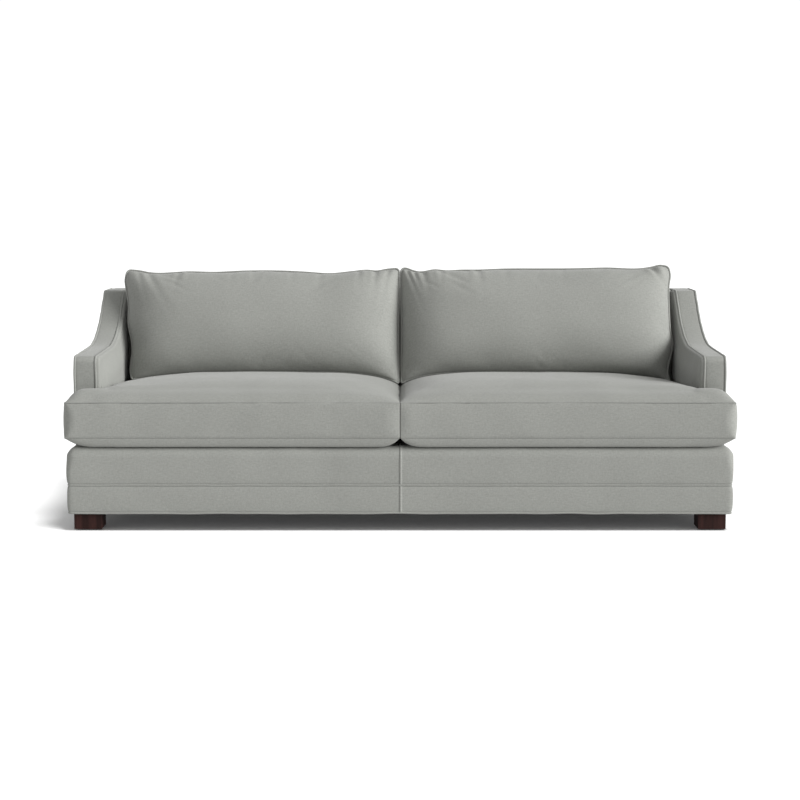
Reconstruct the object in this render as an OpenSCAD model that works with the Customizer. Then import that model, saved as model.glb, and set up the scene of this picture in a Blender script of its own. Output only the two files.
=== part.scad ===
// Slope arm sofa: a hardwood and plywood frame with sinuous springs under padded, welted fabric,
// two loose seat cushions whose ears wrap in front of the arms, and two loose back cushions.
// Millimetres, +Z up, -Y towards the sitter's feet. The origin is on the floor, under the middle.

/* [Body] */
// Width over the outside arms
body_w = 2184; // [1900:4:2500]
// Depth from the front border to the outside back
body_d = 970; // [930:5:1040]
// Height of the level top of the back and of the arm crests
back_h = 747; // [710:1:800]
// Height of the hem above the floor
hem_h = 60; // [50:1:68]
// Height of the welt between the lower band and the front border
band_h = 153; // [130:1:180]

/* [Seat deck] */
// Height of the front lip that the seat cushions lie on
deck_h = 279; // [270:1:310]
// Backward pitch of the seat deck in degrees
deck_pitch = 1.5; // [1:0.5:2.5]
// Radius of the front border's rolled top edge
lip_r = 34; // [24:1:40]
// Depth of the back at the deck, from the inside back to the outside back
back_d = 225; // [200:5:260]
// Recline of the inside back in degrees
recline = 12; // [8:1:14]

/* [Arms] */
// Height of the arm's top at its front corner
arm_h = 562; // [530:1:600]
// Rise of the arm's top from its front corner to the sweep, in degrees
arm_rise = 1.5; // [0.5:0.5:3]
// Thickness of an arm, from its outside face to its inner welt
arm_t = 72; // [66:1:80]
// Setback of the arm behind the front border, which is the depth of a cushion's ear
ear_d = 160; // [130:5:190]
// Radius of the hollow sweep of the arm's top
sweep_r = 450; // [340:10:480]
// Slope of the arm's top between the sweep and the crest, in degrees
sweep_angle = 41; // [38:1:48]
// Radius of the crest
crest_r = 25; // [20:1:30]
// Length of the level crest, from its start to the outside back
crest_run = 152; // [130:2:180]
// Radius of the arm's front top corner
arm_front_r = 21; // [18:1:28]
// Swell of the inside arm's padding past its welt
arm_swell = 14; // [8:1:18]

/* [Seat cushions] */
// Overhang of the cushion's front panel beyond the front border
seat_nose = 15; // [12:1:22]
// Overhang of the ear's side panel beyond the body's side
ear_nose = 10; // [4:1:14]
// Height of the boxing between the two welts
seat_box_h = 111; // [95:1:130]
// Rise of the crown above the top welt
seat_crown = 62; // [44:1:70]
// Drop of the bottom panel below the bottom welt
seat_sag = 36; // [26:1:40]

/* [Back cushions] */
// Height of the cushion from welt to welt, along its own slope
back_cushion_h = 404; // [370:2:430]
// Slope of the cushion, back from upright, in degrees
back_cushion_tilt = 25; // [20:1:27]
// Distance of the bottom welt in front of the inside back, at the deck
back_cushion_step = 145; // [130:1:160]
// Swell of the front panel in front of the welt
back_swell = 104; // [90:1:120]
// Swell of the rear panel behind the welt, where nothing stops it
back_rear_swell = 150; // [120:1:160]

/* [Frame] */
// Thickness of the hardwood rails
rail_t = 37; // [32:1:40]
// Height of the side, rear and cross rails
rail_h = 96; // [80:1:110]
// Thickness of the plywood arm panels
ply_t = 15; // [12:1:18]
// Thickness of the ribs of the back
rib_t = 25; // [18:1:30]
// Number of seat springs
spring_count = 12; // [6:2:14]
// Diameter of the spring wire
spring_wire = 3.8; // [3.2:0.1:4.2]
// Width of a spring over its bends
spring_w = 50; // [40:1:60]

/* [Legs] */
// Side of the square leg block
leg_w = 90; // [76:1:100]
// Inset of a leg from the body's side
leg_side_inset = 17; // [14:1:30]
// Inset of a leg from the body's front and back
leg_end_inset = 16; // [14:1:40]
// Height of the glide under a leg
glide_h = 4; // [3:0.5:6]
// Diameter of the glide
glide_d = 30; // [24:1:40]

/* [Hidden] */

// Colours
fabric = [0.60, 0.62, 0.59];
fabric_shade = [0.52, 0.54, 0.51];
foam = [0.93, 0.90, 0.78];
timber = [0.80, 0.66, 0.47];
ply = [0.86, 0.74, 0.55];
espresso = [0.20, 0.13, 0.11];
steel = [0.62, 0.63, 0.65];
black_cloth = [0.12, 0.12, 0.13];

// Overrun of a cut beyond the piece that it cuts
over = 5;
// Gap between soft pieces of two bodies
slack = 0.4;
// Fineness of the round holes and bolts
fine = 48;
// Steps of the rounded outlines
corner_steps = 4;
lip_steps = 8;
sweep_steps = 12;
// Reach of a cut that clears the whole sofa
far = 3 * body_w;

// Fabric with its wadding, and the welts sewn between two pieces of it
cover_t = 6;
welt_d = 7;
welt_proud = 1.8;
welt_in = welt_d / 2 - welt_proud;
welt_gap = welt_d / 2 + 0.2 * welt_proud;
corner_r = 8;

// Body faces
y0 = (seat_nose - body_d) / 2;
y1 = y0 + body_d;
side_x = body_w / 2;
arm_y = y0 + ear_d;
skin_x = side_x - cover_t;
skin_y0 = y0 + cover_t;
skin_y1 = y1 - cover_t;

// Frame levels
hem_turn = 3;
frame_h = hem_h + hem_turn;
dust_t = 1;
rail_top = frame_h + rail_h;
edge_foam = 15;
front_rail_y = skin_y0 + edge_foam;
rear_rail_y = skin_y1 - rail_t;

// Arm layers in X, from the outside in
rail_x = skin_x - ply_t;
welt_x = side_x - arm_t;
arm_face_x = welt_x - arm_swell;
arm_pad_x = arm_face_x + cover_t;
arm_pad_t = 12;
arm_panel_x = arm_pad_x + arm_pad_t;
arm_core_x = arm_panel_x + ply_t;
arm_foam = 12;
arm_frame = cover_t + arm_foam;
arm_board = 18;

// Sweep of the arm's top
function way(a) = [cos(a), sin(a)];
function turn(a, b) = a.x * b.y - a.y * b.x;
crest = [y1 - crest_run, back_h - crest_r];
front_top = [arm_y + arm_front_r, arm_h - arm_front_r];
slope_top = crest + crest_r * way(90 + sweep_angle);
rise_low = front_top + arm_front_r * way(90 + arm_rise);
sweep_off = slope_top - rise_low + sweep_r * (way(90 + sweep_angle) - way(90 + arm_rise));
rise_run = turn(sweep_off, way(sweep_angle)) / sin(sweep_angle - arm_rise);
sweep = rise_low + rise_run * way(arm_rise) + sweep_r * way(90 + arm_rise);

// Deck layers, square to the deck
deck_pad_t = 12;
felt_t = 3;
felt_low = cover_t + deck_pad_t + felt_t;
clip_h = 7;
spring_low = felt_low + clip_h;
function deck_z(y) = deck_h - (y - y0) * tan(deck_pitch);
arm_low = deck_z(arm_y);
welt_foot = arm_low - lip_r / 2 + welt_gap;
seat_d = body_d - back_d;
back_y = y0 + seat_d;
back_z = deck_z(back_y);

// Back layers, square to the inside back
back_pad_t = 28;
web_t = 2;
web_w = 60;
web_count = 8;
back_frame = cover_t + back_pad_t + web_t;
function lean_y(z, off) = back_y + off / cos(recline) + (z - back_z) * tan(recline);
skin_top = back_h - cover_t;
top_foam = 12;
top_board = 22;
top_rail_z = skin_top - top_foam - top_board;
spring_rail_y = back_y - rail_t;
rib_count = 5;

// Legs and their bolts
leg_x = side_x - leg_side_inset - leg_w / 2;
leg_front_y = y0 + leg_end_inset + leg_w / 2;
leg_rear_y = y1 - leg_end_inset - leg_w / 2;
bolt_d = 8;
bolt_clear = 0.2;
bolt_inset = 20;
leg_bolt_x = rail_x - rail_t - bolt_inset;
leg_bolt_front_y = front_rail_y + rail_t + bolt_inset;
leg_bolt_rear_y = rear_rail_y - bolt_inset;
leg_bolt_in = 30;
leg_bolt_up = 60;
leg_bolt_low = frame_h - leg_bolt_in;
leg_bolt_high = frame_h + leg_bolt_up;
block_w = 80;
block_h = 70;
arm_bolt_z = frame_h + rail_h / 2;
arm_bolt_shares = [0.15, 0.5, 0.85];
arm_bolt_head = 5;

// Seat cushion, in the deck's frame
bead = 3;
box_bulge = 4;
seat_top = seat_sag + seat_box_h;
seat_in_x = max(bead, box_bulge) + slack / 2;
seat_arm_x = arm_face_x - box_bulge - slack;
seat_ear_x = side_x + ear_nose - box_bulge;
seat_front_y = -(seat_nose - box_bulge);
ear_lean = (seat_top + seat_crown) * sin(deck_pitch);
seat_ear_y = ear_d - ear_lean - box_bulge - slack;
seat_rear_y = seat_d - box_bulge - slack;
draw_in = 5;
mitre_share = 0.5;
seat_wall = 30;
seat_base = 12;
inner_power = 6.5;
outer_power = 3.2;
depth_power = 4;
ear_power = 12;
ear_depth_power = 2;
ear_share = 0.8;
bottom_power = 20;
bottom_front_power = 30;
bottom_ear_power = 12;
flat_share = 1.1;

// Zips in the rear boxing
zip_w = 24;
zip_t = 1.5;
zip_deep = 4;
zip_pull = [14, 2, 9];
zip_share = 0.62;
zip_l = zip_share * seat_arm_x;
zip_z = seat_sag + seat_box_h / 2;
zip_mid_x = (seat_in_x + seat_arm_x) / 2;

// Back cushion
rest_y = back_y - back_cushion_step;
rest_turn = 2 * (rest_y - y0 - ear_lean - seat_front_y) / (seat_rear_y - seat_front_y) - 1;
rest_z = deck_z(rest_y) + (seat_top + seat_crown * (1 - pow(rest_turn, depth_power))) / cos(deck_pitch) + slack;
rest_slope = tan(deck_pitch)
    + 2 * depth_power * seat_crown * pow(rest_turn, depth_power - 1) / (seat_rear_y - seat_front_y);
back_in_x = bead + slack;
back_low_gap = 38;
back_high_gap = 7;
back_low_x = arm_face_x - back_low_gap;
back_high_x = arm_face_x - back_high_gap - bead;
back_draw = 7;
inner_draw_share = 0.3;
back_power = 3;
back_round = 0.65;
fill_t = 100;
fill_margin = 70;

module mirrored() {
    children();
    mirror([1, 0, 0]) children();
}

module side(left) {
    mirror([left ? 1 : 0, 0, 0]) children();
}

// Lays a profile drawn in (y, z) along X
module along_x(low, high) {
    translate([low, 0, 0]) rotate([90, 0, 90]) linear_extrude(high - low) children();
}

// Frame of the seat deck: local z is square to the deck, with its origin at the front lip
module on_deck() {
    translate([0, y0, deck_h]) rotate([-deck_pitch, 0, 0]) children();
}

// Everything below a level under the deck's surface
module under_deck(depth) {
    on_deck() translate([-far / 2, -far / 2, -far - depth]) cube([far, far, far]);
}

// Frame of the inside back: local y runs into the back, local z up along it
module on_back() {
    translate([0, back_y, back_z]) rotate([-recline, 0, 0]) children();
}

// A slab of the deck between two depths, from y_low to y_high
module deck_slab(half_x, y_low, y_high, top, bottom) {
    intersection() {
        along_x(-half_x, half_x) translate([y_low, 0]) square([y_high - y_low, deck_h]);
        difference() {
            under_deck(top);
            under_deck(bottom);
        }
    }
}

function unit(v) = v / norm(v);

// Round stretch of radius r about c, as points, or its sharp corner where the radius is used up
function arc(c, r, from, to, n) = let (mid = (from + to) / 2)
    r > 0 ? [for (i = [0 : n]) let (t = from + (to - from) * i / n) c + r * [cos(t), sin(t)]]
    : [c + r / cos((from - to) / 2) * [cos(mid), sin(mid)]];

// Rectangle about the Y axis with round corners, as points
function round_rect(half_x, low, high, r) = concat(
    arc([half_x - r, low + r], r, -90, 0, corner_steps), arc([half_x - r, high - r], r, 0, 90, corner_steps),
    arc([r - half_x, high - r], r, 90, 180, corner_steps), arc([r - half_x, low + r], r, 180, 270, corner_steps));

// Round tube along a list of points, each ring square to the path
module tube(path, r, up, sides = 8, closed = false) {
    m = len(path);
    last = m - 1;
    rings = [for (i = [0 : last])
        let (before = path[closed ? (i + last) % m : max(i - 1, 0)],
             after = path[closed ? (i + 1) % m : min(i + 1, last)],
             a = unit(cross(unit(after - before), up)))
        for (j = [0 : sides - 1])
            path[i] + r * (cos(360 * j / sides) * a + sin(360 * j / sides) * up)];
    walls = [for (i = [0 : closed ? last : last - 1], j = [0 : sides - 1])
        let (k = (j + 1) % sides, a = i * sides, b = ((i + 1) % m) * sides)
        each [[a + j, a + k, b + k], [a + j, b + k, b + j]]];
    ends = closed ? [] : [for (j = [1 : sides - 2])
        each [[0, j + 1, j], [last * sides, last * sides + j, last * sides + j + 1]]];
    polyhedron(rings, concat(walls, ends));
}

// Front lip in (y, z), drawn off inside its finished face
module lip_outline(off, low, rear) {
    c = [y0 + lip_r, deck_h - lip_r / cos(deck_pitch) - lip_r * tan(deck_pitch)];
    polygon(concat([[y0 + off, low]], arc(c, lip_r - off, 180, 90 - deck_pitch, lip_steps),
        [[rear, deck_z(rear) - off / cos(deck_pitch)], [rear, low]]));
}

// Front part of the base, as far back as the arms, drawn off inside its finished face
module front_body(off, low) {
    c = [side_x - lip_r, deck_h - lip_r];
    intersection() {
        along_x(-side_x, side_x) lip_outline(off, low, arm_y);
        linear_extrude(deck_h) polygon(round_rect(side_x - off, y0 + off, y1, corner_r - off));
        translate([0, y1, 0]) rotate([90, 0, 0]) linear_extrude(body_d)
            polygon(concat([[side_x - off, 0]], arc(c, lip_r - off, 0, 90, lip_steps),
                arc([-c.x, c.y], lip_r - off, 90, 180, lip_steps), [[off - side_x, 0]]));
    }
}

// Top edge of an arm in (y, z), from its front corner to its crest, drawn off inside its finished face
function arm_edge(off) = concat(
    arc(front_top, arm_front_r - off, 180, 90 + arm_rise, corner_steps),
    arc(sweep, sweep_r + off, 270 + arm_rise, 270 + sweep_angle, sweep_steps),
    arc(crest, crest_r - off, 90 + sweep_angle, 90, corner_steps));

module arm_outline(off, low, rear) {
    polygon(concat([[arm_y + off, low]], arm_edge(off), [[rear, back_h - off], [rear, low]]));
}

module arm_strip(off, deep, low) {
    difference() {
        arm_outline(off, low, skin_y1);
        arm_outline(off + deep, low - over, y1 + over);
    }
}

// The same edge as a welt's path at x
function arm_line(x, low, rear) =
    [for (p = concat([[arm_y + welt_in, low]], arm_edge(welt_in), [[rear, back_h - welt_in]])) [x, p.x, p.y]];

// Inner layer of an arm, above the deck and in front of the back
module inner_layer(x_low, x_high) {
    difference() {
        along_x(x_low, x_high) arm_outline(cover_t, rail_top, y1);
        under_deck(0);
        on_back() translate([0, 0, -far / 2]) cube([side_x, far, far]);
    }
}

// Path of a closed welt around the base
function base_line(z) = [for (p = round_rect(side_x - welt_in, y0 + welt_in, y1 - welt_in, corner_r - welt_in))
    [p.x, p.y, z]];

// Base frame
module front_rail() {
    color(timber) difference() {
        translate([-rail_x, front_rail_y, frame_h]) cube([2 * rail_x, rail_t, deck_h]);
        on_deck() translate([-far / 2, -far / 2, -spring_low]) cube([far, far, far]);
    }
}

module spring_rail() {
    color(timber) difference() {
        translate([rail_t - rail_x, spring_rail_y, frame_h])
            cube([2 * (rail_x - rail_t), rail_t, deck_h]);
        on_deck() translate([-far / 2, -far / 2, -spring_low]) cube([far, far, far]);
        mirrored() translate([arm_panel_x, spring_rail_y - over, rail_top])
            cube([side_x, rail_t + 2 * over, deck_h]);
    }
}

module rear_rail() {
    color(timber) translate([-rail_x, rear_rail_y, frame_h]) cube([2 * rail_x, rail_t, rail_h]);
}

module arm_bolt_holes() {
    rail_y = front_rail_y + rail_t;
    for (share = arm_bolt_shares)
        translate([rail_x - rail_t - over, rail_y + share * (rear_rail_y - rail_y), arm_bolt_z])
            rotate([0, 90, 0]) cylinder(d = bolt_d + 2 * bolt_clear, h = arm_t, $fn = fine);
}

module side_rails() {
    rail_y = front_rail_y + rail_t;
    color(timber) mirrored() difference() {
        translate([rail_x - rail_t, rail_y, frame_h]) cube([rail_t, rear_rail_y - rail_y, rail_h]);
        arm_bolt_holes();
    }
}

module cross_rails() {
    rail_y = front_rail_y + rail_t;
    color(timber) for (share = [-0.5, 0, 0.5])
        translate([share * body_w / 2 - rail_t / 2, rail_y, frame_h])
            cube([rail_t, spring_rail_y - rail_y, rail_h]);
}

module corner_block(bolt_y, forward) {
    corner = [rail_x - rail_t, bolt_y - forward * bolt_inset];
    difference() {
        translate([0, 0, frame_h]) linear_extrude(block_h)
            polygon([corner, corner + [-block_w, 0], corner + [0, forward * block_w]]);
        translate([leg_bolt_x, bolt_y, 0]) cylinder(d = bolt_d + 2 * bolt_clear, h = deck_h, $fn = fine);
    }
}

module corner_blocks() {
    color(timber) mirrored() {
        corner_block(leg_bolt_front_y, 1);
        corner_block(leg_bolt_rear_y, -1);
    }
}

// Boards that carry the cushions' ears, at the corners in front of the arms
module ear_boards() {
    color(ply) mirrored() intersection() {
        translate([arm_panel_x, front_rail_y, 0]) cube([rail_x - arm_panel_x, arm_y - front_rail_y, deck_h]);
        difference() {
            under_deck(cover_t + arm_foam);
            under_deck(spring_low);
        }
    }
    color(timber) mirrored() difference() {
        translate([arm_core_x, front_rail_y + rail_t, rail_top])
            cube([rail_x - arm_core_x, arm_y - front_rail_y - rail_t, deck_h]);
        on_deck() translate([-far / 2, -far / 2, -spring_low]) cube([far, far, far]);
    }
}

// Back frame
module rib_outline() {
    rear = skin_y1;
    window = 45;
    low_y = spring_rail_y + rail_t;
    high_z = top_rail_z - window;
    mid_z = back_z + 2 * window;
    difference() {
        polygon([[low_y, rail_top], [low_y, back_z - spring_low], [lean_y(back_z, back_frame), back_z],
            [lean_y(top_rail_z, back_frame), top_rail_z], [rear, top_rail_z], [rear, rail_top]]);
        polygon([[lean_y(mid_z, back_frame + window), mid_z], [lean_y(high_z, back_frame + window), high_z],
            [rear - window, high_z], [rear - window, mid_z]]);
        polygon([[low_y + window, rail_top + window], [low_y + window, mid_z - window],
            [rear - window, mid_z - window], [rear - window, rail_top + window]]);
    }
}

module back_ribs() {
    step = (2 * arm_panel_x - rib_t) / (rib_count - 1);
    color(ply) for (i = [0 : rib_count - 1])
        along_x(i * step - arm_panel_x, i * step - arm_panel_x + rib_t) rib_outline();
}

module back_top_rail() {
    color(timber) along_x(-arm_panel_x, arm_panel_x)
        polygon([[lean_y(top_rail_z, back_frame), top_rail_z],
            [lean_y(top_rail_z + top_board, back_frame), top_rail_z + top_board],
            [skin_y1, top_rail_z + top_board], [skin_y1, top_rail_z]]);
}

// Arm frames: an outer panel that runs to the front, an inner panel above the side rail
module panel_windows(low) {
    bar = 60;
    window_h = arm_h - arm_frame - low - 2 * bar;
    for (share = [0, 1, 2])
        translate([arm_y + arm_frame + bar + share * (3 * bar + bar / 2), low + bar])
            square([2.5 * bar, window_h]);
}

module arm_panels() {
    color(ply) mirrored() {
        difference() {
            along_x(rail_x, skin_x) difference() {
                union() {
                    arm_outline(arm_frame, frame_h, skin_y1);
                    translate([front_rail_y, frame_h])
                        square([ear_d, deck_z(arm_y) - lip_r - frame_h]);
                }
                panel_windows(deck_h);
            }
            arm_bolt_holes();
        }
        along_x(arm_panel_x, arm_core_x) difference() {
            arm_outline(arm_frame, rail_top, skin_y1);
            panel_windows(deck_h);
        }
    }
}

module arm_cores() {
    color(timber) mirrored() along_x(arm_core_x, rail_x) arm_strip(arm_frame, arm_board, rail_top);
}

module arm_bolts() {
    rail_y = front_rail_y + rail_t;
    color(steel) mirrored() for (share = arm_bolt_shares)
        translate([rail_x - rail_t, rail_y + share * (rear_rail_y - rail_y), arm_bolt_z])
            rotate([0, 90, 0]) {
                cylinder(d = bolt_d, h = rail_t + ply_t - slack, $fn = fine);
                translate([0, 0, -arm_bolt_head]) cylinder(d = 2 * bolt_d, h = arm_bolt_head, $fn = fine);
            }
}

// Springs: each runs from the front rail to the spring rail in half-round bends
spring_y0 = front_rail_y - y0 + rail_t / 2;
spring_y1 = spring_rail_y - y0 + rail_t / 2;
spring_bends = 19;
spring_pitch = (spring_y1 - spring_y0) / spring_bends;
clip_w = 18;
clip_d = 12;

// Ends of the straight end bars, which reach through their clips
bar_shares = [1.6, 0.4];

function spring_line() = concat(
    [for (share = bar_shares) [-share * clip_w, spring_y0, 0]],
    [for (i = [0 : spring_bends - 1])
        let (s = i % 2 == 0 ? 1 : -1, c = spring_y0 + (i + 0.5) * spring_pitch, r = spring_pitch / 2)
        for (a = [-60, 0, 60]) [s * (spring_w / 2 - r + r * cos(a)), c + r * sin(a), 0]],
    [for (i = [1, 0]) [-bar_shares[i] * clip_w, spring_y1, 0]]);

module spring_places() {
    step = 2 * (arm_panel_x - spring_w) / spring_count;
    on_deck() for (i = [0 : spring_count - 1])
        translate([(i + 0.5) * step - arm_panel_x + spring_w, 0, -spring_low + clip_h / 2])
            children();
}

module seat_springs() {
    color(steel) spring_places() tube(spring_line(), spring_wire / 2, [0, 0, 1], 4);
}

module spring_clips() {
    color(steel) spring_places() for (y = [spring_y0, spring_y1])
        translate([-clip_w, y, 0]) difference() {
            translate([-clip_w / 2, -clip_d / 2, -clip_h / 2]) cube([clip_w, clip_d, clip_h]);
            translate([-clip_w, 0, 0]) rotate([0, 90, 0])
                cylinder(d = spring_wire + slack, h = 2 * clip_w, $fn = fine);
        }
}

module spring_felt() {
    color(fabric_shade) deck_slab(arm_panel_x, front_rail_y, back_y, felt_low - felt_t, felt_low);
}

module deck_pad() {
    color(foam) deck_slab(arm_face_x, arm_y, back_y, cover_t, cover_t + deck_pad_t);
}

module deck_cloth() {
    color(fabric_shade) deck_slab(arm_face_x, arm_y, back_y, 0, cover_t);
}

// Front and base upholstery
module front_edge_foam() {
    color(foam) difference() {
        front_body(cover_t, frame_h);
        intersection() {
            translate([-rail_x, front_rail_y, 0]) cube([2 * rail_x, body_d, deck_h]);
            under_deck(cover_t + arm_foam);
        }
        translate([-skin_x, front_rail_y, 0]) cube([2 * skin_x, body_d, deck_z(arm_y) - lip_r]);
    }
}

module front_border() {
    color(fabric) difference() {
        front_body(0, band_h + welt_gap);
        front_body(cover_t, 0);
    }
}

module lower_border() {
    color(fabric) translate([0, 0, hem_h + welt_gap]) linear_extrude(band_h - hem_h - 2 * welt_gap)
        difference() {
            polygon(round_rect(side_x, y0, y1, corner_r));
            translate([-skin_x, skin_y0]) square([2 * skin_x, skin_y1 - skin_y0]);
        }
}

module base_welt() {
    color(fabric_shade) tube(base_line(band_h), welt_d / 2, [0, 0, 1], 8, true);
}

module hem_welt() {
    color(fabric_shade) tube(base_line(hem_h), welt_d / 2, [0, 0, 1], 8, true);
}

// Back upholstery
module back_webbing() {
    step = 2 * arm_face_x / web_count;
    color(black_cloth) for (i = [0 : web_count - 1])
        along_x((i + 0.5) * step - arm_face_x - web_w / 2, (i + 0.5) * step - arm_face_x + web_w / 2)
            polygon([[lean_y(back_z, back_frame - web_t), back_z], [lean_y(skin_top - top_foam, back_frame - web_t),
                skin_top - top_foam], [lean_y(skin_top - top_foam, back_frame), skin_top - top_foam],
                [lean_y(back_z, back_frame), back_z]]);
}

module back_padding() {
    color(foam) along_x(-arm_face_x, arm_face_x)
        polygon([[lean_y(back_z, cover_t), back_z], [lean_y(skin_top, cover_t), skin_top], [skin_y1, skin_top],
            [skin_y1, skin_top - top_foam], [lean_y(skin_top - top_foam, back_frame - web_t), skin_top - top_foam],
            [lean_y(back_z, back_frame - web_t), back_z]]);
}

module inside_back() {
    color(fabric) along_x(-arm_face_x, arm_face_x)
        polygon([[lean_y(back_z, 0), back_z], [lean_y(skin_top, 0), skin_top],
            [lean_y(skin_top, cover_t), skin_top], [lean_y(back_z, cover_t), back_z]]);
}

module back_top_band() {
    color(fabric) along_x(-arm_face_x, arm_face_x)
        polygon([[lean_y(skin_top, 0), skin_top], [lean_y(back_h, 0), back_h], [skin_y1, back_h],
            [skin_y1, skin_top]]);
}

module outside_back() {
    color(fabric) translate([-skin_x, skin_y1, band_h + welt_gap])
        cube([2 * skin_x, cover_t, skin_top - band_h - welt_gap]);
}

module back_welt() {
    half = side_x - welt_in - welt_gap;
    color(fabric_shade) translate([-half, y1 - welt_in, back_h - welt_in]) rotate([0, 90, 0])
        cylinder(d = welt_d, h = 2 * half, $fn = fine);
}

module dust_cover() {
    half = skin_x - welt_d;
    color(black_cloth) difference() {
        translate([-half, skin_y0 + welt_d, frame_h - dust_t])
            cube([2 * half, skin_y1 - skin_y0 - 2 * welt_d, dust_t]);
        legs_at() translate([-leg_w / 2 - slack, -leg_w / 2 - slack, 0])
            cube([leg_w + 2 * slack, leg_w + 2 * slack, deck_h]);
    }
}

// Arm upholstery
module arm_padding() {
    color(foam) mirrored() {
        along_x(arm_panel_x, skin_x) arm_strip(cover_t, arm_foam, arm_low);
        inner_layer(arm_pad_x, arm_panel_x);
    }
}

module arm_band() {
    color(fabric) {
        along_x(welt_x + welt_gap, skin_x) arm_strip(0, cover_t, arm_low);
        along_x(side_x - lip_r, skin_x) translate([arm_y, arm_low - lip_r]) square([cover_t, lip_r]);
    }
}
module left_arm_band() { side(true) arm_band(); }
module right_arm_band() { side(false) arm_band(); }

module inside_arm() {
    color(fabric) inner_layer(arm_face_x, arm_pad_x);
}
module left_inside_arm() { side(true) inside_arm(); }
module right_inside_arm() { side(false) inside_arm(); }

module outside_arm() {
    low = band_h + welt_gap;
    color(fabric) along_x(skin_x, side_x) {
        arm_outline(cover_t, low, skin_y1);
        translate([arm_y, low]) square([2 * cover_t, welt_foot - low]);
    }
}
module left_outside_arm() { side(true) outside_arm(); }
module right_outside_arm() { side(false) outside_arm(); }

module arm_welts() {
    outer_x = side_x - welt_in;
    low = band_h + welt_gap;
    outer = concat(arm_line(outer_x, welt_foot, y1 - welt_in), [[outer_x, y1 - welt_in, low]]);
    color(fabric_shade) mirrored() {
        tube(outer, welt_d / 2, [1, 0, 0]);
        tube(arm_line(welt_x, arm_low + welt_gap, y1 - welt_in - welt_gap), welt_d / 2, [1, 0, 0]);
    }
}

// Legs
module legs_at() {
    for (x = [-leg_x, leg_x], y = [leg_front_y, leg_rear_y]) translate([x, y, 0]) children();
}

module leg(left, front) {
    y = front ? leg_front_y : leg_rear_y;
    color(espresso) side(left) difference() {
        translate([leg_x - leg_w / 2, y - leg_w / 2, glide_h]) cube([leg_w, leg_w, frame_h - glide_h]);
        translate([leg_bolt_x, front ? leg_bolt_front_y : leg_bolt_rear_y, leg_bolt_low - slack])
            cylinder(d = bolt_d + 2 * bolt_clear, h = frame_h, $fn = fine);
    }
}
module front_left_leg() { leg(true, true); }
module front_right_leg() { leg(false, true); }
module rear_left_leg() { leg(true, false); }
module rear_right_leg() { leg(false, false); }

module leg_bolts() {
    color(steel) mirrored() for (y = [leg_bolt_front_y, leg_bolt_rear_y])
        translate([leg_bolt_x, y, leg_bolt_low])
            cylinder(d = bolt_d, h = leg_bolt_high - leg_bolt_low, $fn = fine);
}

module leg_glides() {
    color(black_cloth) legs_at() cylinder(d = glide_d, h = glide_h, $fn = fine);
}

// Cushion forms. A panel is a grid of points, and the two panels meet along the grid's edge.
function dome(t, p, q) = 1 - pow(abs(2 * t - 1), t < 0.5 ? p : q);
function between(v, a, b) = min(max((v - a) / (b - a), 0), 1);
function ease(n) = [for (i = [0 : n]) (1 - cos(180 * i / n)) / 2];

// Grid lines of the seat cushion, close together near its edges and its arm corner
arm_cells = 13;
ear_cells = 3;
ear_rows = 4;
rear_rows = 9;
seat_x = concat([for (t = ease(arm_cells)) seat_in_x + t * (seat_arm_x - seat_in_x)],
    [for (i = [1 : ear_cells]) seat_arm_x + i / ear_cells * (seat_ear_x - seat_arm_x)]);
seat_y = concat([for (t = ease(ear_rows)) seat_front_y + t * (seat_ear_y - seat_front_y)],
    [for (t = ease(rear_rows)) if (t > 0) seat_ear_y + t * (seat_rear_y - seat_ear_y)]);
seat_nx = arm_cells + ear_cells;
seat_ny = ear_rows + rear_rows;

// Main part of a panel and its ear as one form, as a share of its full rise
function seat_blend(main, ear) = 1 - (1 - main) * (1 - ear * (1 - main));
function top_rise(x, y) = seat_blend(
    dome(between(x, seat_in_x, seat_arm_x), inner_power, outer_power)
        * dome(between(y, seat_front_y, seat_rear_y), depth_power, depth_power),
    y > seat_ear_y ? 0 : ear_share * dome(between(x, seat_in_x, seat_ear_x), inner_power, ear_power)
        * dome(between(y, seat_front_y, seat_ear_y), ear_depth_power, ear_depth_power));
function bottom_rise(x, y) = seat_blend(
    dome(between(x, seat_in_x, seat_arm_x), bottom_power, bottom_power)
        * dome(between(y, seat_front_y, seat_rear_y), bottom_front_power, bottom_power),
    y > seat_ear_y ? 0 : dome(between(x, seat_in_x, seat_ear_x), bottom_power, bottom_power)
        * dome(between(y, seat_front_y, seat_ear_y), bottom_ear_power, bottom_ear_power));

// Plan place of a grid point, drawn in between the corners
function seat_at(i, j) =
    let (x = seat_x[i], y = seat_y[j],
         a = 2 * between(x, seat_in_x, seat_ear_x) - 1, b = 2 * between(y, seat_front_y, seat_rear_y) - 1)
    [x - draw_in * (1 - b * b) * pow(a, 3), y - draw_in * (1 - a * a) * pow(b, 3)];

// Grid places around the edge of the T, counter-clockwise from the inner front corner
seat_edge = concat(
    [for (i = [0 : seat_nx - 1]) [i, 0]], [for (j = [0 : ear_rows - 1]) [seat_nx, j]],
    [for (i = [seat_nx : -1 : arm_cells + 1]) [i, ear_rows]], [for (j = [ear_rows : seat_ny - 1]) [arm_cells, j]],
    [for (i = [arm_cells : -1 : 1]) [i, seat_ny]], [for (j = [seat_ny : -1 : 1]) [0, j]]);

// Direction out of the edge at each of its places, longer at a corner up to a limit
function outward(places, k) =
    let (m = len(places), a = places[(k + m - 1) % m], b = places[k], c = places[(k + 1) % m],
         u = unit(b - a), v = unit(c - b), n = unit([u.y + v.y, -u.x - v.x]))
    n / max(n * [v.y, -v.x], mitre_share);

function seat_ring(off, z) =
    let (places = [for (p = seat_edge) seat_at(p.x, p.y)])
    [for (k = [0 : len(places) - 1]) let (p = places[k] + off * outward(places, k)) [p.x, p.y, z]];

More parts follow.
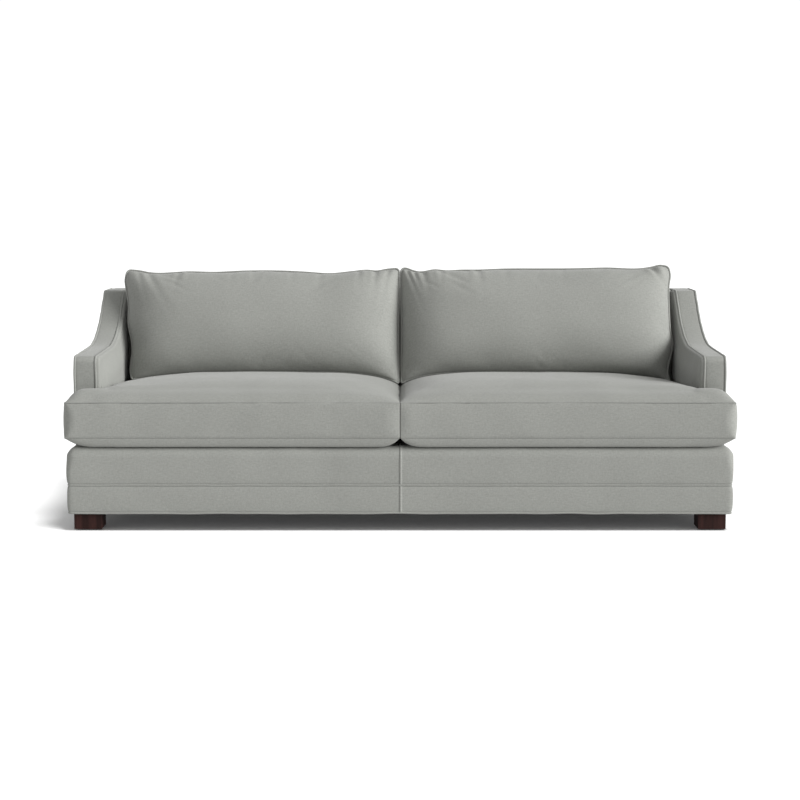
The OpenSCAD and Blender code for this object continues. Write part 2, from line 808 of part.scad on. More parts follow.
module seat_form() {
    nx = seat_nx + 1;
    count = nx * (seat_ny + 1);
    edge = len(seat_edge);
    in_t = [for (j = [0 : seat_ny - 1], i = [0 : seat_nx - 1]) if (i < arm_cells || j < ear_rows) [i, j]];
    top = [for (j = [0 : seat_ny], i = [0 : seat_nx])
        let (p = seat_at(i, j)) [p.x, p.y, seat_top + bead
            + (seat_crown - bead) * top_rise(seat_x[i], seat_y[j])]];
    bottom = [for (j = [0 : seat_ny], i = [0 : seat_nx])
        let (p = seat_at(i, j)) [p.x, p.y, max(slack, (seat_sag - bead)
            * (1 - flat_share * bottom_rise(seat_x[i], seat_y[j])))]];
    rings = concat(seat_ring(bead, seat_sag), seat_ring(0, seat_sag + bead),
        seat_ring(box_bulge, seat_sag + seat_box_h / 2), seat_ring(0, seat_top - bead), seat_ring(bead, seat_top));
    levels = 5;
    // Level 0 is the bottom panel's edge, and the last level is the top panel's
    function at(level, k) = let (e = seat_edge[k % edge])
        level == 0 ? count + e.y * nx + e.x
        : level > levels ? e.y * nx + e.x : 2 * count + (level - 1) * edge + k % edge;
    polyhedron(concat(top, bottom, rings), concat(
        [for (c = in_t) let (a = c.y * nx + c.x) each [[a, a + nx, a + nx + 1], [a, a + nx + 1, a + 1]]],
        [for (c = in_t) let (a = count + c.y * nx + c.x) each [[a, a + nx + 1, a + nx], [a, a + 1, a + nx + 1]]],
        [for (level = [0 : levels], k = [0 : edge - 1])
            each [[at(level, k), at(level + 1, k + 1), at(level, k + 1)],
                [at(level, k), at(level + 1, k), at(level + 1, k + 1)]]]));
}

// Foam block of the seat cushion, grown on all sides
module seat_block(grow) {
    low = [seat_in_x + seat_wall - grow, seat_front_y + seat_wall - grow, seat_base - grow];
    high = seat_top - seat_base + grow;
    translate(low) cube([seat_arm_x - seat_wall + grow - low.x, seat_rear_y - seat_wall + grow - low.y, high - low.z]);
    translate(low) cube([seat_ear_x - seat_wall + grow - low.x, seat_ear_y - seat_wall + grow - low.y, high - low.z]);
}

module zip_slot() {
    translate([zip_mid_x - zip_l / 2, seat_rear_y - zip_deep, zip_z - zip_w / 2])
        cube([zip_l, 2 * zip_deep + box_bulge, zip_w]);
}

module seat_cover() {
    color(fabric) on_deck() difference() {
        seat_form();
        seat_block(slack);
        zip_slot();
    }
}
module left_seat_cover() { side(true) seat_cover(); }
module right_seat_cover() { side(false) seat_cover(); }
module left_seat_foam() { color(foam) side(true) on_deck() seat_block(0); }
module right_seat_foam() { color(foam) side(false) on_deck() seat_block(0); }

module seat_zip(left) {
    color(black_cloth) side(left) on_deck()
        translate([zip_mid_x - zip_l / 2, seat_rear_y - zip_deep, zip_z - zip_w / 2]) cube([zip_l, zip_t, zip_w]);
}
module left_seat_zip() { seat_zip(true); }
module right_seat_zip() { seat_zip(false); }

module seat_zip_pull(left) {
    color(steel) side(left) on_deck()
        translate([zip_mid_x - zip_l / 2 + slack, seat_rear_y - zip_deep + zip_t + slack, zip_z - zip_pull.z / 2])
            cube(zip_pull);
}
module left_seat_zip_pull() { seat_zip_pull(true); }
module right_seat_zip_pull() { seat_zip_pull(false); }

// Back cushion: front and rear panels swell from one welted edge and stop at the back and the seat
back_cells = 16;
back_rows = 11;

function back_at(i, j) =
    let (a = 2 * ease(back_cells)[i] - 1, b = 2 * ease(back_rows)[j] - 1,
         outer = (back_low_x + back_high_x) / 2 + b * (back_high_x - back_low_x) / 2,
         mid = (outer + back_in_x) / 2, half = (outer - back_in_x) / 2)
    [mid + half * a - back_draw * (1 - b * b) * (a > 0 ? 1 : inner_draw_share) * pow(a, 3),
        back_cushion_h / 2 * (1 + b) + back_draw * (1 - a * a) * (b > 0 ? -pow(b, 3) : 0)];

// Place of a point at a height along the cushion's slope and a distance behind its welt,
// stopped at the inside back and at the seat cushion's top
function back_place(p, behind) =
    let (y = rest_y + p.y * sin(back_cushion_tilt) + behind * cos(back_cushion_tilt),
         z = rest_z + bead + p.y * cos(back_cushion_tilt) - behind * sin(back_cushion_tilt),
         z_stop = max(z, rest_z - (y - rest_y) * rest_slope))
    [p.x, min(y, lean_y(z_stop, -slack)), z_stop];

module back_form() {
    nx = back_cells + 1;
    count = nx * (back_rows + 1);
    tx = ease(back_cells);
    ty = ease(back_rows);
    swell = [for (j = [0 : back_rows], i = [0 : back_cells])
        pow(dome(tx[i], 2 * back_power, 2 * back_power) * dome(ty[j], back_power, back_power), back_round)];
    front = [for (j = [0 : back_rows], i = [0 : back_cells])
        back_place(back_at(i, j), -bead - (back_swell - bead) * swell[j * nx + i])];
    rear = [for (j = [0 : back_rows], i = [0 : back_cells])
        back_place(back_at(i, j), bead + (back_rear_swell - bead) * swell[j * nx + i])];
    edge = concat([for (i = [0 : back_cells - 1]) [i, 0]], [for (j = [0 : back_rows - 1]) [back_cells, j]],
        [for (i = [back_cells : -1 : 1]) [i, back_rows]], [for (j = [back_rows : -1 : 1]) [0, j]]);
    places = [for (e = edge) back_at(e.x, e.y)];
    welt = [for (k = [0 : len(edge) - 1]) back_place(places[k] + bead * outward(places, k), 0)];
    m = len(edge);
    function front_i(k) = edge[k % m].y * nx + edge[k % m].x;
    polyhedron(concat(front, rear, welt), concat(
        [for (j = [0 : back_rows - 1], i = [0 : back_cells - 1]) let (a = j * nx + i)
            each [[a, a + nx + 1, a + 1], [a, a + nx, a + nx + 1]]],
        [for (j = [0 : back_rows - 1], i = [0 : back_cells - 1]) let (a = count + j * nx + i)
            each [[a, a + 1, a + nx + 1], [a, a + nx + 1, a + nx]]],
        [for (k = [0 : m - 1]) let (n = (k + 1) % m) each [
            [front_i(k), front_i(n), 2 * count + n], [front_i(k), 2 * count + n, 2 * count + k],
            [count + front_i(k), 2 * count + n, count + front_i(n)],
            [count + front_i(k), 2 * count + k, 2 * count + n]]]));
}

module back_block(grow) {
    translate([0, rest_y, rest_z]) rotate([-back_cushion_tilt, 0, 0])
        translate([back_in_x + fill_margin - grow, -fill_t / 3 - grow, fill_margin - grow])
            cube([back_low_x - back_in_x - 2 * fill_margin + 2 * grow, fill_t + 2 * grow,
                back_cushion_h - 2 * fill_margin + 2 * grow]);
}

module back_cover() {
    color(fabric) difference() {
        back_form();
        back_block(slack);
    }
}
module left_back_cover() { side(true) back_cover(); }
module right_back_cover() { side(false) back_cover(); }
module left_back_fill() { color(foam) side(true) back_block(0); }
module right_back_fill() { color(foam) side(false) back_block(0); }

front_rail();
spring_rail();
rear_rail();
side_rails();
cross_rails();
corner_blocks();
ear_boards();
back_ribs();
back_top_rail();
arm_panels();
arm_cores();
arm_bolts();
seat_springs();
spring_clips();
spring_felt();
deck_pad();
deck_cloth();
front_edge_foam();
front_border();
lower_border();
base_welt();
hem_welt();
back_webbing();
back_padding();
inside_back();
outside_back();
back_top_band();
back_welt();
dust_cover();
arm_padding();
left_arm_band();
right_arm_band();
left_inside_arm();
right_inside_arm();
left_outside_arm();
right_outside_arm();
arm_welts();
front_left_leg();
front_right_leg();
rear_left_leg();
rear_right_leg();
leg_bolts();
leg_glides();
left_seat_cover();
right_seat_cover();
left_seat_foam();
right_seat_foam();
left_back_cover();
right_back_cover();
left_back_fill();
right_back_fill();
left_seat_zip();
right_seat_zip();
left_seat_zip_pull();
right_seat_zip_pull();
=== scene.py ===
"""Looks of the slope arm sofa: fabric, piping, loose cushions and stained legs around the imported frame."""

import logging
import math
from dataclasses import dataclass
from enum import Enum
from typing import Callable, Optional, Sequence

import bmesh
import bpy
import numpy as np
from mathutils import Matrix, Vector
from mathutils.kdtree import KDTree


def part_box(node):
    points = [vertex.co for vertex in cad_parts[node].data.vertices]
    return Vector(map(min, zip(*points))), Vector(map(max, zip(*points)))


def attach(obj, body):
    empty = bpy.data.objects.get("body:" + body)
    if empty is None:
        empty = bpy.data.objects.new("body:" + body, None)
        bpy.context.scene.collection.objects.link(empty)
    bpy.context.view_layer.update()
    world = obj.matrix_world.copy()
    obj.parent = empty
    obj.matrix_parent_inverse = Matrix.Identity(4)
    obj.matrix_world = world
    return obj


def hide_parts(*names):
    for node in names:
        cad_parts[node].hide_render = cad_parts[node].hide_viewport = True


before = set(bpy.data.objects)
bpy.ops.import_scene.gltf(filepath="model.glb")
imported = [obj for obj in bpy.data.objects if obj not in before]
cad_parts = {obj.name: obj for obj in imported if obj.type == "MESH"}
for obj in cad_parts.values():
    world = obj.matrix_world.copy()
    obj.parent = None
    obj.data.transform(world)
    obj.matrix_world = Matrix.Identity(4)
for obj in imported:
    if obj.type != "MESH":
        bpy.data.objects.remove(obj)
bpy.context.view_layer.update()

LOG = logging.getLogger("sofa")
MM = 0.001
TURN = 2 * math.pi
QUARTER = math.pi / 2
CLOTH_MAP = "cloth"
TONES = (0.5, 1.5)
WELD = 0.02

Points = np.ndarray
Colour = tuple[float, float, float]


class Side(Enum):
    """The two mirrored halves of the sofa, with the sign that they give to X."""

    LEFT = -1
    RIGHT = 1

    @property
    def label(self) -> str:
        """Name of the side as the CAD nodes write it."""
        return self.name.lower()


# Sizes


@dataclass(frozen=True)
class Body:
    """Driving sizes of the sofa's body in millimetres and degrees, as the CAD source has them."""

    body_w: float = 2184
    body_d: float = 970
    back_h: float = 747
    hem_h: float = 60
    band_h: float = 153
    deck_h: float = 279
    pitch: float = math.radians(1.5)
    lip_r: float = 34
    seat_d: float = 745
    recline: float = math.radians(12)
    arm_h: float = 562
    arm_rise: float = math.radians(1.5)
    arm_t: float = 72
    ear_d: float = 160
    sweep_r: float = 450
    sweep_angle: float = math.radians(41)
    crest_r: float = 25
    crest_run: float = 152
    front_r: float = 21
    arm_swell: float = 14
    seat_nose: float = 15
    ear_nose: float = 10
    cover_t: float = 6
    welt_d: float = 7
    welt_in: float = 1.7
    tuck_gap: float = 2.6

    @property
    def side_x(self) -> float:
        """X of the outside arm's face."""
        return self.body_w / 2

    @property
    def front_y(self) -> float:
        """Y of the front border's face."""
        return (self.seat_nose - self.body_d) / 2

    @property
    def rear_y(self) -> float:
        """Y of the outside back's face."""
        return self.front_y + self.body_d

    @property
    def arm_y(self) -> float:
        """Y of the arm's front face."""
        return self.front_y + self.ear_d

    @property
    def welt_x(self) -> float:
        """X of the arm's inner piping."""
        return self.side_x - self.arm_t

    @property
    def face_x(self) -> float:
        """X of the padded inside arm."""
        return self.welt_x - self.arm_swell

    @property
    def back_y(self) -> float:
        """Y where the inside back meets the deck."""
        return self.front_y + self.seat_d

    @property
    def back_z(self) -> float:
        """Z where the inside back meets the deck."""
        return float(self.deck_z(self.back_y))

    def deck_z(self, y: Points) -> Points:
        """Height of the pitched seat deck at y."""
        return self.deck_h - (y - self.front_y) * math.tan(self.pitch)

    def lean_y(self, z: Points, off: float = 0) -> Points:
        """Y of the reclined inside back at height z, moved back by off square to it."""
        return self.back_y + off / math.cos(self.recline) + (z - self.back_z) * math.tan(self.recline)

    def on_deck(self, p: Points) -> Points:
        """Points given in the deck's own frame, in the sofa's frame."""
        c, s = math.cos(self.pitch), math.sin(self.pitch)
        return joined(p[..., 0], self.front_y + p[..., 1] * c + p[..., 2] * s,
                      self.deck_h - p[..., 1] * s + p[..., 2] * c)

    def arm_edge(self, off: float, low: float, rear: float) -> Points:
        """The arm's top edge in (y, z) from its front foot to its rear end, off inside the finished face.

        Args:
            off: Distance inside the finished face.
            low: Height of its foot.
            rear: Y of its rear end.
        Returns:
            Points of the edge.
        """
        rise, angle = math.degrees(self.arm_rise), math.degrees(self.sweep_angle)
        crest = np.array([self.rear_y - self.crest_run, self.back_h - self.crest_r])
        front = np.array([self.arm_y + self.front_r, self.arm_h - self.front_r])
        gentle, steep = heading(self.arm_rise), heading(self.sweep_angle)
        lift = heading(self.sweep_angle + QUARTER) - heading(self.arm_rise + QUARTER)
        start = front + self.front_r * heading(self.arm_rise + QUARTER)
        gap = crest + self.crest_r * heading(self.sweep_angle + QUARTER) - start + self.sweep_r * lift
        run = (gap[0] * steep[1] - gap[1] * steep[0]) / math.sin(self.sweep_angle - self.arm_rise)
        sweep = start + run * gentle + self.sweep_r * heading(self.arm_rise + QUARTER)
        return resample(np.concatenate([
            [[self.arm_y + off, low]], arc(front, self.front_r - off, 180, 90 + rise, 10),
            arc(sweep, self.sweep_r + off, 270 + rise, 270 + angle, 40),
            arc(crest, self.crest_r - off, 90 + angle, 90, 8), [[rear, self.back_h - off]]]), 14)

    def arm_top(self, y: Points) -> Points:
        """Height of the arm's top edge at y.

        Args:
            y: Where to read the height.
        Returns:
            The heights.
        """
        edge = self.arm_edge(0, self.deck_h, self.rear_y)
        edge = edge[edge[:, 1] >= self.arm_h - self.front_r]
        return np.interp(y, edge[:, 0], edge[:, 1])


BODY = Body()


# Point helpers


def heading(angle: float) -> Points:
    """Unit vector in the plane at an angle in radians."""
    return np.array([math.cos(angle), math.sin(angle)])


def joined(*parts: Points | float) -> Points:
    """Points from their coordinates, each of which may be one number for all of them."""
    return np.stack(np.broadcast_arrays(*parts), -1)


def arc(centre: Sequence[float], r: float, start: float, end: float, n: int) -> Points:
    """Points of an arc in the plane.

    Args:
        centre: Its centre.
        r: Its radius.
        start: First angle in degrees.
        end: Last angle in degrees.
        n: Number of steps.
    Returns:
        n + 1 points.
    """
    t = np.radians(np.linspace(start, end, n + 1))
    return joined(centre[0] + r * np.cos(t), centre[1] + r * np.sin(t))


def resample(path: Points, step: float) -> Points:
    """The path with every stretch longer than step cut into equal parts.

    Args:
        path: Points of the path.
        step: Longest stretch that stays.
    Returns:
        The finer path.
    """
    out = [path[0]]
    for a, b in zip(path[:-1], path[1:]):
        n = max(1, math.ceil(np.linalg.norm(b - a) / step))
        out += [a + (b - a) * k / n for k in range(1, n + 1)]
    return np.array(out)


def lengths(path: Points) -> Points:
    """Distance along the path at each of its points."""
    return np.concatenate([[0], np.cumsum(np.linalg.norm(np.diff(path, axis=0), axis=1))])


TIGHT = (0, 0.5, 1.1, 1.9, 2.9, 4.2, 6, 8.5, 12, 17)


def stations(low: float, high: float, step: float, dense: Sequence[float] = ()) -> Points:
    """Places from low to high about a step apart, and close together around the dense ones.

    Args:
        low: First place.
        high: Last place.
        step: Usual distance.
        dense: Places with others close around them.
    Returns:
        The places in rising order.
    """
    count = max(2, round((high - low) / step) + 1)
    close = [d + s * t for d in dense for t in TIGHT for s in (-1, 1)]
    close = np.unique(np.round([c for c in close if low <= c <= high], 4))
    rest = np.linspace(low, high, count)
    if len(close):
        rest = np.array([r for r in rest if np.abs(close - r).min() > 0.45 * step or r in (low, high)])
    out = np.unique(np.round(np.concatenate([close, rest]), 4))
    keep = np.concatenate([[True], np.diff(out) > 0.2])
    return out[keep]


def distance_to(points: Points, path: Points) -> Points:
    """Distance of each point to a path in the plane.

    Args:
        points: Points in the plane.
        path: Points of the path.
    Returns:
        The distance of each point.
    """
    best = np.full(points.shape[:-1], np.inf)
    for a, b in zip(path[:-1], path[1:]):
        d = b - a
        t = np.clip(((points - a) @ d) / max(d @ d, 1e-9), 0, 1)
        best = np.minimum(best, np.linalg.norm(points - a - t[..., None] * d, axis=-1))
    return best


def smooth(t: Points) -> Points:
    """Smooth step of a value from 0 to 1."""
    t = np.clip(t, 0, 1)
    return t * t * (3 - 2 * t)


def bell(d: Points, width: float) -> Points:
    """A bell of height 1 over a distance."""
    return np.exp(-(d / width) ** 2)


def dip(d: Points, width: float) -> Points:
    """How deep a panel is drawn in at a distance from its piping, from 1 at the piping to 0."""
    return np.exp(-(d / width) ** 1.2)


def filling(d: Points, width: float) -> Points:
    """How full a panel is at a distance from its edge, from 0 at the edge to 1."""
    return 1 - np.exp(-d / width)


def normals(p: Points) -> Points:
    """Unit normals of a grid of points, on the side of rows cross columns."""
    n = np.cross(np.gradient(p, axis=0), np.gradient(p, axis=1))
    return n / np.maximum(np.linalg.norm(n, axis=-1, keepdims=True), 1e-9)


class Ripple:
    """Smooth seeded unevenness over space, as a sum of plane waves."""

    waves = 14

    def __init__(self, seed: int, wave: float) -> None:
        """Draws the waves.

        Args:
            seed: Seed of the draws.
            wave: Usual length of a wave.
        """
        rng = np.random.default_rng(seed)
        way = rng.normal(size=(self.waves, 3))
        way /= np.linalg.norm(way, axis=1, keepdims=True)
        self.way = way * TURN / (wave * rng.uniform(0.7, 1.8, (self.waves, 1)))
        self.phase = rng.uniform(0, TURN, self.waves)
        self.scale = math.sqrt(2 / self.waves)

    def __call__(self, p: Points) -> Points:
        """Height of the ripple at points in millimetres, mostly between -1 and 1."""
        return np.sin(p @ self.way.T + self.phase).sum(-1) * self.scale


# Meshes


def read(mesh: bpy.types.Mesh, what: str) -> Points:
    """The places ("co") or normals ("normal") of a mesh's points.

    Args:
        mesh: The mesh.
        what: Which of the two.
    Returns:
        One row for each point.
    """
    out = np.empty(len(mesh.vertices) * 3)
    mesh.vertices.foreach_get(what, out)
    return out.reshape(-1, 3)


def move_to(mesh: bpy.types.Mesh, p: Points) -> None:
    """Moves the points of a mesh to places in millimetres."""
    mesh.vertices.foreach_set("co", (p * MM).ravel())
    mesh.update()


def show(name: str, mesh: bpy.types.Mesh, finish: "Finish") -> bpy.types.Object:
    """Puts a mesh into the scene.

    Args:
        name: Name of its object.
        mesh: The mesh, in metres.
        finish: Its finish.
    Returns:
        The new object.
    """
    mesh.materials.append(finish.material())
    piece = bpy.data.objects.new(name, mesh)
    bpy.context.scene.collection.objects.link(piece)
    return piece


class Pattern:
    """Collects grids of points in millimetres and sews them into one mesh with a cloth map."""

    def __init__(self, name: str) -> None:
        """Starts without points.

        Args:
            name: Name of the object to make.
        """
        self.name = name
        self.points: list[Points] = []
        self.cloth: list[Points] = []
        self.faces: list[Points] = []
        self.count = 0

    def grid(self, p: Points, cloth: Optional[Points] = None, flip: bool = False,
             keep: Optional[Points] = None) -> "Pattern":
        """Adds a grid.

        Args:
            p: Points, rows by columns by three.
            cloth: Flat place of each point on the fabric, or None to measure it along the grid.
            flip: Turns the faces over.
            keep: Which cells to make, rows - 1 by columns - 1.
        Returns:
            The pattern itself.
        """
        rows, cols = p.shape[:2]
        if cloth is None:
            u = np.zeros((rows, cols))
            v = np.zeros((rows, cols))
            u[:, 1:] = np.cumsum(np.linalg.norm(np.diff(p, axis=1), axis=-1), 1)
            v[1:] = np.cumsum(np.linalg.norm(np.diff(p, axis=0), axis=-1), 0)
            u -= u[:, cols // 2: cols // 2 + 1]
            cloth = joined(u, v)
        index = self.count + np.arange(rows * cols).reshape(rows, cols)
        a, b, c, d = index[:-1, :-1], index[:-1, 1:], index[1:, 1:], index[1:, :-1]
        quads = np.stack([a, d, c, b] if flip else [a, b, c, d], -1)
        self.faces.append(quads[keep] if keep is not None else quads.reshape(-1, 4))
        self.points.append(p.reshape(-1, 3))
        self.cloth.append(cloth.reshape(-1, 2))
        self.count += rows * cols
        return self

    def tube(self, path: Points, r: float, up: Sequence[float], sides: int = 10,
             closed: bool = False) -> "Pattern":
        """Adds a round cord along a path.

        Args:
            path: Points of its middle line.
            r: Its radius.
            up: A direction that the path never follows.
            sides: Facets around it.
            closed: Whether its end runs into its start.
        Returns:
            The pattern itself.
        """
        up = np.asarray(up, float)
        if closed:
            way = np.roll(path, -1, 0) - np.roll(path, 1, 0)
        else:
            way = np.gradient(path, axis=0)
        way /= np.linalg.norm(way, axis=1, keepdims=True)
        a = np.cross(way, up)
        a /= np.linalg.norm(a, axis=1, keepdims=True)
        b = np.cross(a, way)
        radius = np.full(len(path), float(r))
        if not closed:
            radius[[0, -1]] = r * 0.55
        along = lengths(path)
        if closed:
            path, a, b, radius = (np.concatenate([x, x[:1]]) for x in (path, a, b, radius))
            along = np.append(along, along[-1] + np.linalg.norm(path[-1] - path[-2]))
        t = np.linspace(0, TURN, sides + 1)
        ring = a[:, None] * np.cos(t)[None, :, None] + b[:, None] * np.sin(t)[None, :, None]
        p = path[:, None] + radius[:, None, None] * ring
        cloth = joined(r * t[None], along[:, None])
        self.grid(p, cloth)
        if not closed:
            for k in (0, -1):
                tip = np.repeat(path[k][None], sides + 1, 0)
                self.grid(np.stack([p[k], tip]), flip=k == 0)
        return self

    def build(self, finish: "Finish") -> bpy.types.Object:
        """Makes the object.

        Args:
            finish: The finish that it gets.
        Returns:
            The new object, in metres.
        """
        mesh = bpy.data.meshes.new(self.name)
        co = np.concatenate(self.points) * MM
        faces = np.concatenate(self.faces)
        cloth = np.concatenate(self.cloth) * MM
        mesh.from_pydata(co.tolist(), [], faces.tolist())
        layer = mesh.uv_layers.new(name=CLOTH_MAP)
        layer.data.foreach_set("uv", cloth[faces.ravel()].astype(np.float32).ravel())
        work = bmesh.new()
        work.from_mesh(mesh)
        bmesh.ops.remove_doubles(work, verts=work.verts, dist=WELD * MM)
        bmesh.ops.dissolve_degenerate(work, edges=work.edges, dist=1e-6)
        loose = [point for point in work.verts if not point.link_faces]
        bmesh.ops.delete(work, geom=loose, context="VERTS")
        work.to_mesh(mesh)
        work.free()
        mesh.polygons.foreach_set("use_smooth", [True] * len(mesh.polygons))
        mesh.update()
        return show(self.name, mesh, finish)


# Shader maths


class Signal:
    """A shader socket that can be added, subtracted and scaled like a number."""

    def __init__(self, graph: "Graph", socket: bpy.types.NodeSocket) -> None:
        """Wraps a socket of a graph."""
        self.graph = graph
        self.socket = socket

    def _math(self, operation: str, *values: "Signal | float") -> "Signal":
        """Result of a Math node on the values."""
        inputs = dict(enumerate(values))
        return self.graph.node("ShaderNodeMath", {"operation": operation}, inputs)

    def __add__(self, other: "Signal | float") -> "Signal":
        """The sum."""
        return self._math("ADD", self, other)

    def __radd__(self, other: float) -> "Signal":
        """The sum with a number in front."""
        return self._math("ADD", other, self)

    def __sub__(self, other: "Signal | float") -> "Signal":
        """The difference."""
        return self._math("SUBTRACT", self, other)

    def __rsub__(self, other: float) -> "Signal":
        """The difference from a number."""
        return self._math("SUBTRACT", other, self)

    def __mul__(self, other: "Signal | float") -> "Signal":
        """The product."""
        return self._math("MULTIPLY", self, other)

    def __rmul__(self, other: float) -> "Signal":
        """The product with a number in front."""
        return self._math("MULTIPLY", other, self)

    def sine(self) -> "Signal":
        """Sine of the value in radians."""
        return self._math("SINE", self)

    def step(self, low: float, high: float) -> "Signal":
        """Smooth step from 0 at low to 1 at high."""
        return self.graph.node("ShaderNodeMapRange", {"interpolation_type": "SMOOTHSTEP"},
                               {"Value": self, "From Min": low, "From Max": high})

    def stretch(self, x: float, y: float, z: float = 1) -> "Signal":
        """The vector with its parts scaled."""
        return self.graph.node("ShaderNodeVectorMath", {"operation": "MULTIPLY"}, {0: self, 1: (x, y, z)})


class Graph:
    """The node tree of one material."""

    def __init__(self, name: str) -> None:
        """Starts a material with its usual surface.

        Args:
            name: Name of the material.
        """
        self.material = bpy.data.materials.new(name)
        self.material.use_nodes = True
        self.tree = self.material.node_tree
        self.surface = self.tree.nodes["Principled BSDF"]

    def node(self, kind: str, settings: Optional[dict] = None, inputs: Optional[dict] = None,
             output: int | str = 0) -> Signal:
        """Adds a node.

        Args:
            kind: Blender's name of the node type.
            settings: Its own properties.
            inputs: Values or signals by socket name or place.
            output: Which output to give back.
        Returns:
            The output as a signal.
        """
        made = self.tree.nodes.new(kind)
        for key, value in (settings or {}).items():
            setattr(made, key, value)
        for key, value in (inputs or {}).items():
            self.feed(made.inputs[key], value)
        return Signal(self, made.outputs[output])

    def feed(self, socket: bpy.types.NodeSocket, value: "Signal | float | Sequence[float]") -> None:
        """Links a signal to a socket, or sets its constant.

        Args:
            socket: The socket.
            value: The signal or constant.
        """
        if isinstance(value, Signal):
            self.tree.links.new(value.socket, socket)
        else:
            socket.default_value = value

    def mix(self, share: "Signal | float", a: "Signal | Sequence[float]",
            b: "Signal | Sequence[float]") -> Signal:
        """Blend of two colours by a share.

        Args:
            share: Share of the second colour.
            a: First colour.
            b: Second colour.
        Returns:
            The blend.
        """
        made = self.tree.nodes.new("ShaderNodeMix")
        made.data_type = "RGBA"
        for place, value in ((0, share), (6, a), (7, b)):
            self.feed(made.inputs[place], value)
        return Signal(self, made.outputs[2])

    def noise(self, vector: Signal, scale: float, detail: float = 2, rough: float = 0.5) -> Signal:
        """Fractal noise between 0 and 1."""
        return self.node("ShaderNodeTexNoise", {}, {
            "Vector": vector, "Scale": scale, "Detail": detail, "Roughness": rough})

    def split(self, vector: Signal) -> tuple[Signal, Signal, Signal]:
        """The three parts of a vector.

        Args:
            vector: The vector.
        Returns:
            Its x, y and z.
        """
        made = self.tree.nodes.new("ShaderNodeSeparateXYZ")
        self.feed(made.inputs[0], vector)
        return tuple(Signal(self, made.outputs[k]) for k in range(3))

    def place(self) -> Signal:
        """Place in the object's own space."""
        return self.node("ShaderNodeTexCoord", output="Object")

    def cloth(self) -> Signal:
        """Place on the flat cloth, in metres."""
        return self.node("ShaderNodeUVMap", {"uv_map": CLOTH_MAP})

    def bump(self, height: Signal, strength: float, distance: float) -> None:
        """Feeds a height to the surface's normal."""
        made = self.node("ShaderNodeBump", {}, {"Height": height, "Strength": strength, "Distance": distance})
        self.feed(self.surface.inputs["Normal"], made)

    def set(self, **values: "Signal | float | Sequence[float]") -> None:
        """Sets inputs of the surface, with spaces of their names written as underscores."""
        for key, value in values.items():
            self.feed(self.surface.inputs[key.replace("_", " ")], value)


def rgba(colour: Colour, share: float = 1) -> tuple[float, float, float, float]:
    """A colour scaled by a share, with its alpha."""
    return (*(min(1.0, c * share) for c in colour), 1.0)


# Finishes


@dataclass(frozen=True)
class Finish:
    """A named material, made once."""

    name: str
    colour: Colour

    def material(self) -> bpy.types.Material:
        """The material, which is made at its first use.

        Returns:
            The material.
        """
        found = bpy.data.materials.get(self.name)
        if found:
            return found
        graph = Graph(self.name)
        self.paint(graph)
        return graph.material

    def paint(self, graph: Graph) -> None:
        """Fills the node tree."""
        raise NotImplementedError


@dataclass(frozen=True)
class Weave(Finish):
    """Upholstery cloth: a plain weave of slubby yarn with a heathered colour and a soft sheen."""

    pitch: float = 0.0016
    bias: float = 0.0
    relief: float = 0.0005
    bump: float = 0.5
    fleck: float = 0.16
    fleck_scale: float = 150
    cloud: float = 0.05
    cloud_scale: float = 7
    slub: float = 420
    slub_runs: tuple[float, float] = (60, 50)
    sheen: float = 0.25
    rough: float = 0.92

    def paint(self, graph: Graph) -> None:
        """Fills the node tree.

        Args:
            graph: The tree.
        """
        flat = graph.node("ShaderNodeVectorRotate", {"rotation_type": "Z_AXIS"},
                          {"Vector": graph.cloth(), "Angle": self.bias})
        u, v, _ = graph.split(flat)
        warp = (u * (TURN / self.pitch)).sine()
        weft = (v * (TURN / self.pitch)).sine()
        weave = warp * weft * 0.5 + 0.5
        slub_u = graph.noise(flat.stretch(self.slub, self.slub_runs[0]), 1, 2)
        slub_v = graph.noise(flat.stretch(self.slub_runs[1], self.slub), 1, 2)
        fleck = graph.noise(flat, self.fleck_scale, 4, 0.75)
        cloud = graph.noise(graph.place(), self.cloud_scale, 2)
        yarn = slub_u * 0.4 + slub_v * 0.6
        tone = 1 + (fleck - 0.5) * self.fleck * 3 + (yarn - 0.5) * self.fleck * 3
        tone = tone + (cloud - 0.5) * self.cloud * 2 - (1 - weave) * 0.06
        low, high = (rgba(self.colour, share) for share in TONES)
        graph.set(Base_Color=graph.mix(tone - TONES[0], low, high), Roughness=self.rough,
                  Sheen_Weight=self.sheen, Sheen_Roughness=0.4, Specular_IOR_Level=0.2)
        graph.bump(weave * 0.6 + yarn * 0.5 + fleck * 0.5, self.bump, self.relief)


@dataclass(frozen=True)
class Timber(Finish):
    """Wood with grain along an axis, sawn, sanded or stained."""

    grain: Colour = (0.5, 0.35, 0.2)
    stretch: tuple[float, float, float] = (1.5, 40, 40)
    ring_scale: float = 1.2
    pore_scale: float = 9
    rough: float = 0.55
    gloss: float = 0.5
    bump: float = 0.25

    def paint(self, graph: Graph) -> None:
        """Fills the node tree.

        Args:
            graph: The tree.
        """
        flow = graph.place().stretch(*self.stretch)
        warped = graph.node("ShaderNodeVectorMath", {"operation": "ADD"},
                            {0: flow, 1: graph.node("ShaderNodeTexNoise", {}, {
                                "Vector": flow, "Scale": 0.6}, "Color")})
        rings = graph.noise(warped, self.ring_scale, 5, 0.6)
        pores = graph.noise(warped, self.pore_scale, 3, 0.7)
        share = (rings * 1.5 - 0.25 + (pores - 0.5) * 0.5).step(0.25, 0.85)
        graph.set(Base_Color=graph.mix(share, rgba(self.colour), rgba(self.grain)),
                  Roughness=self.rough + (pores - 0.5) * 0.2, Specular_IOR_Level=self.gloss)
        graph.bump(pores * 0.6 + rings * 0.4, self.bump, 0.0006)


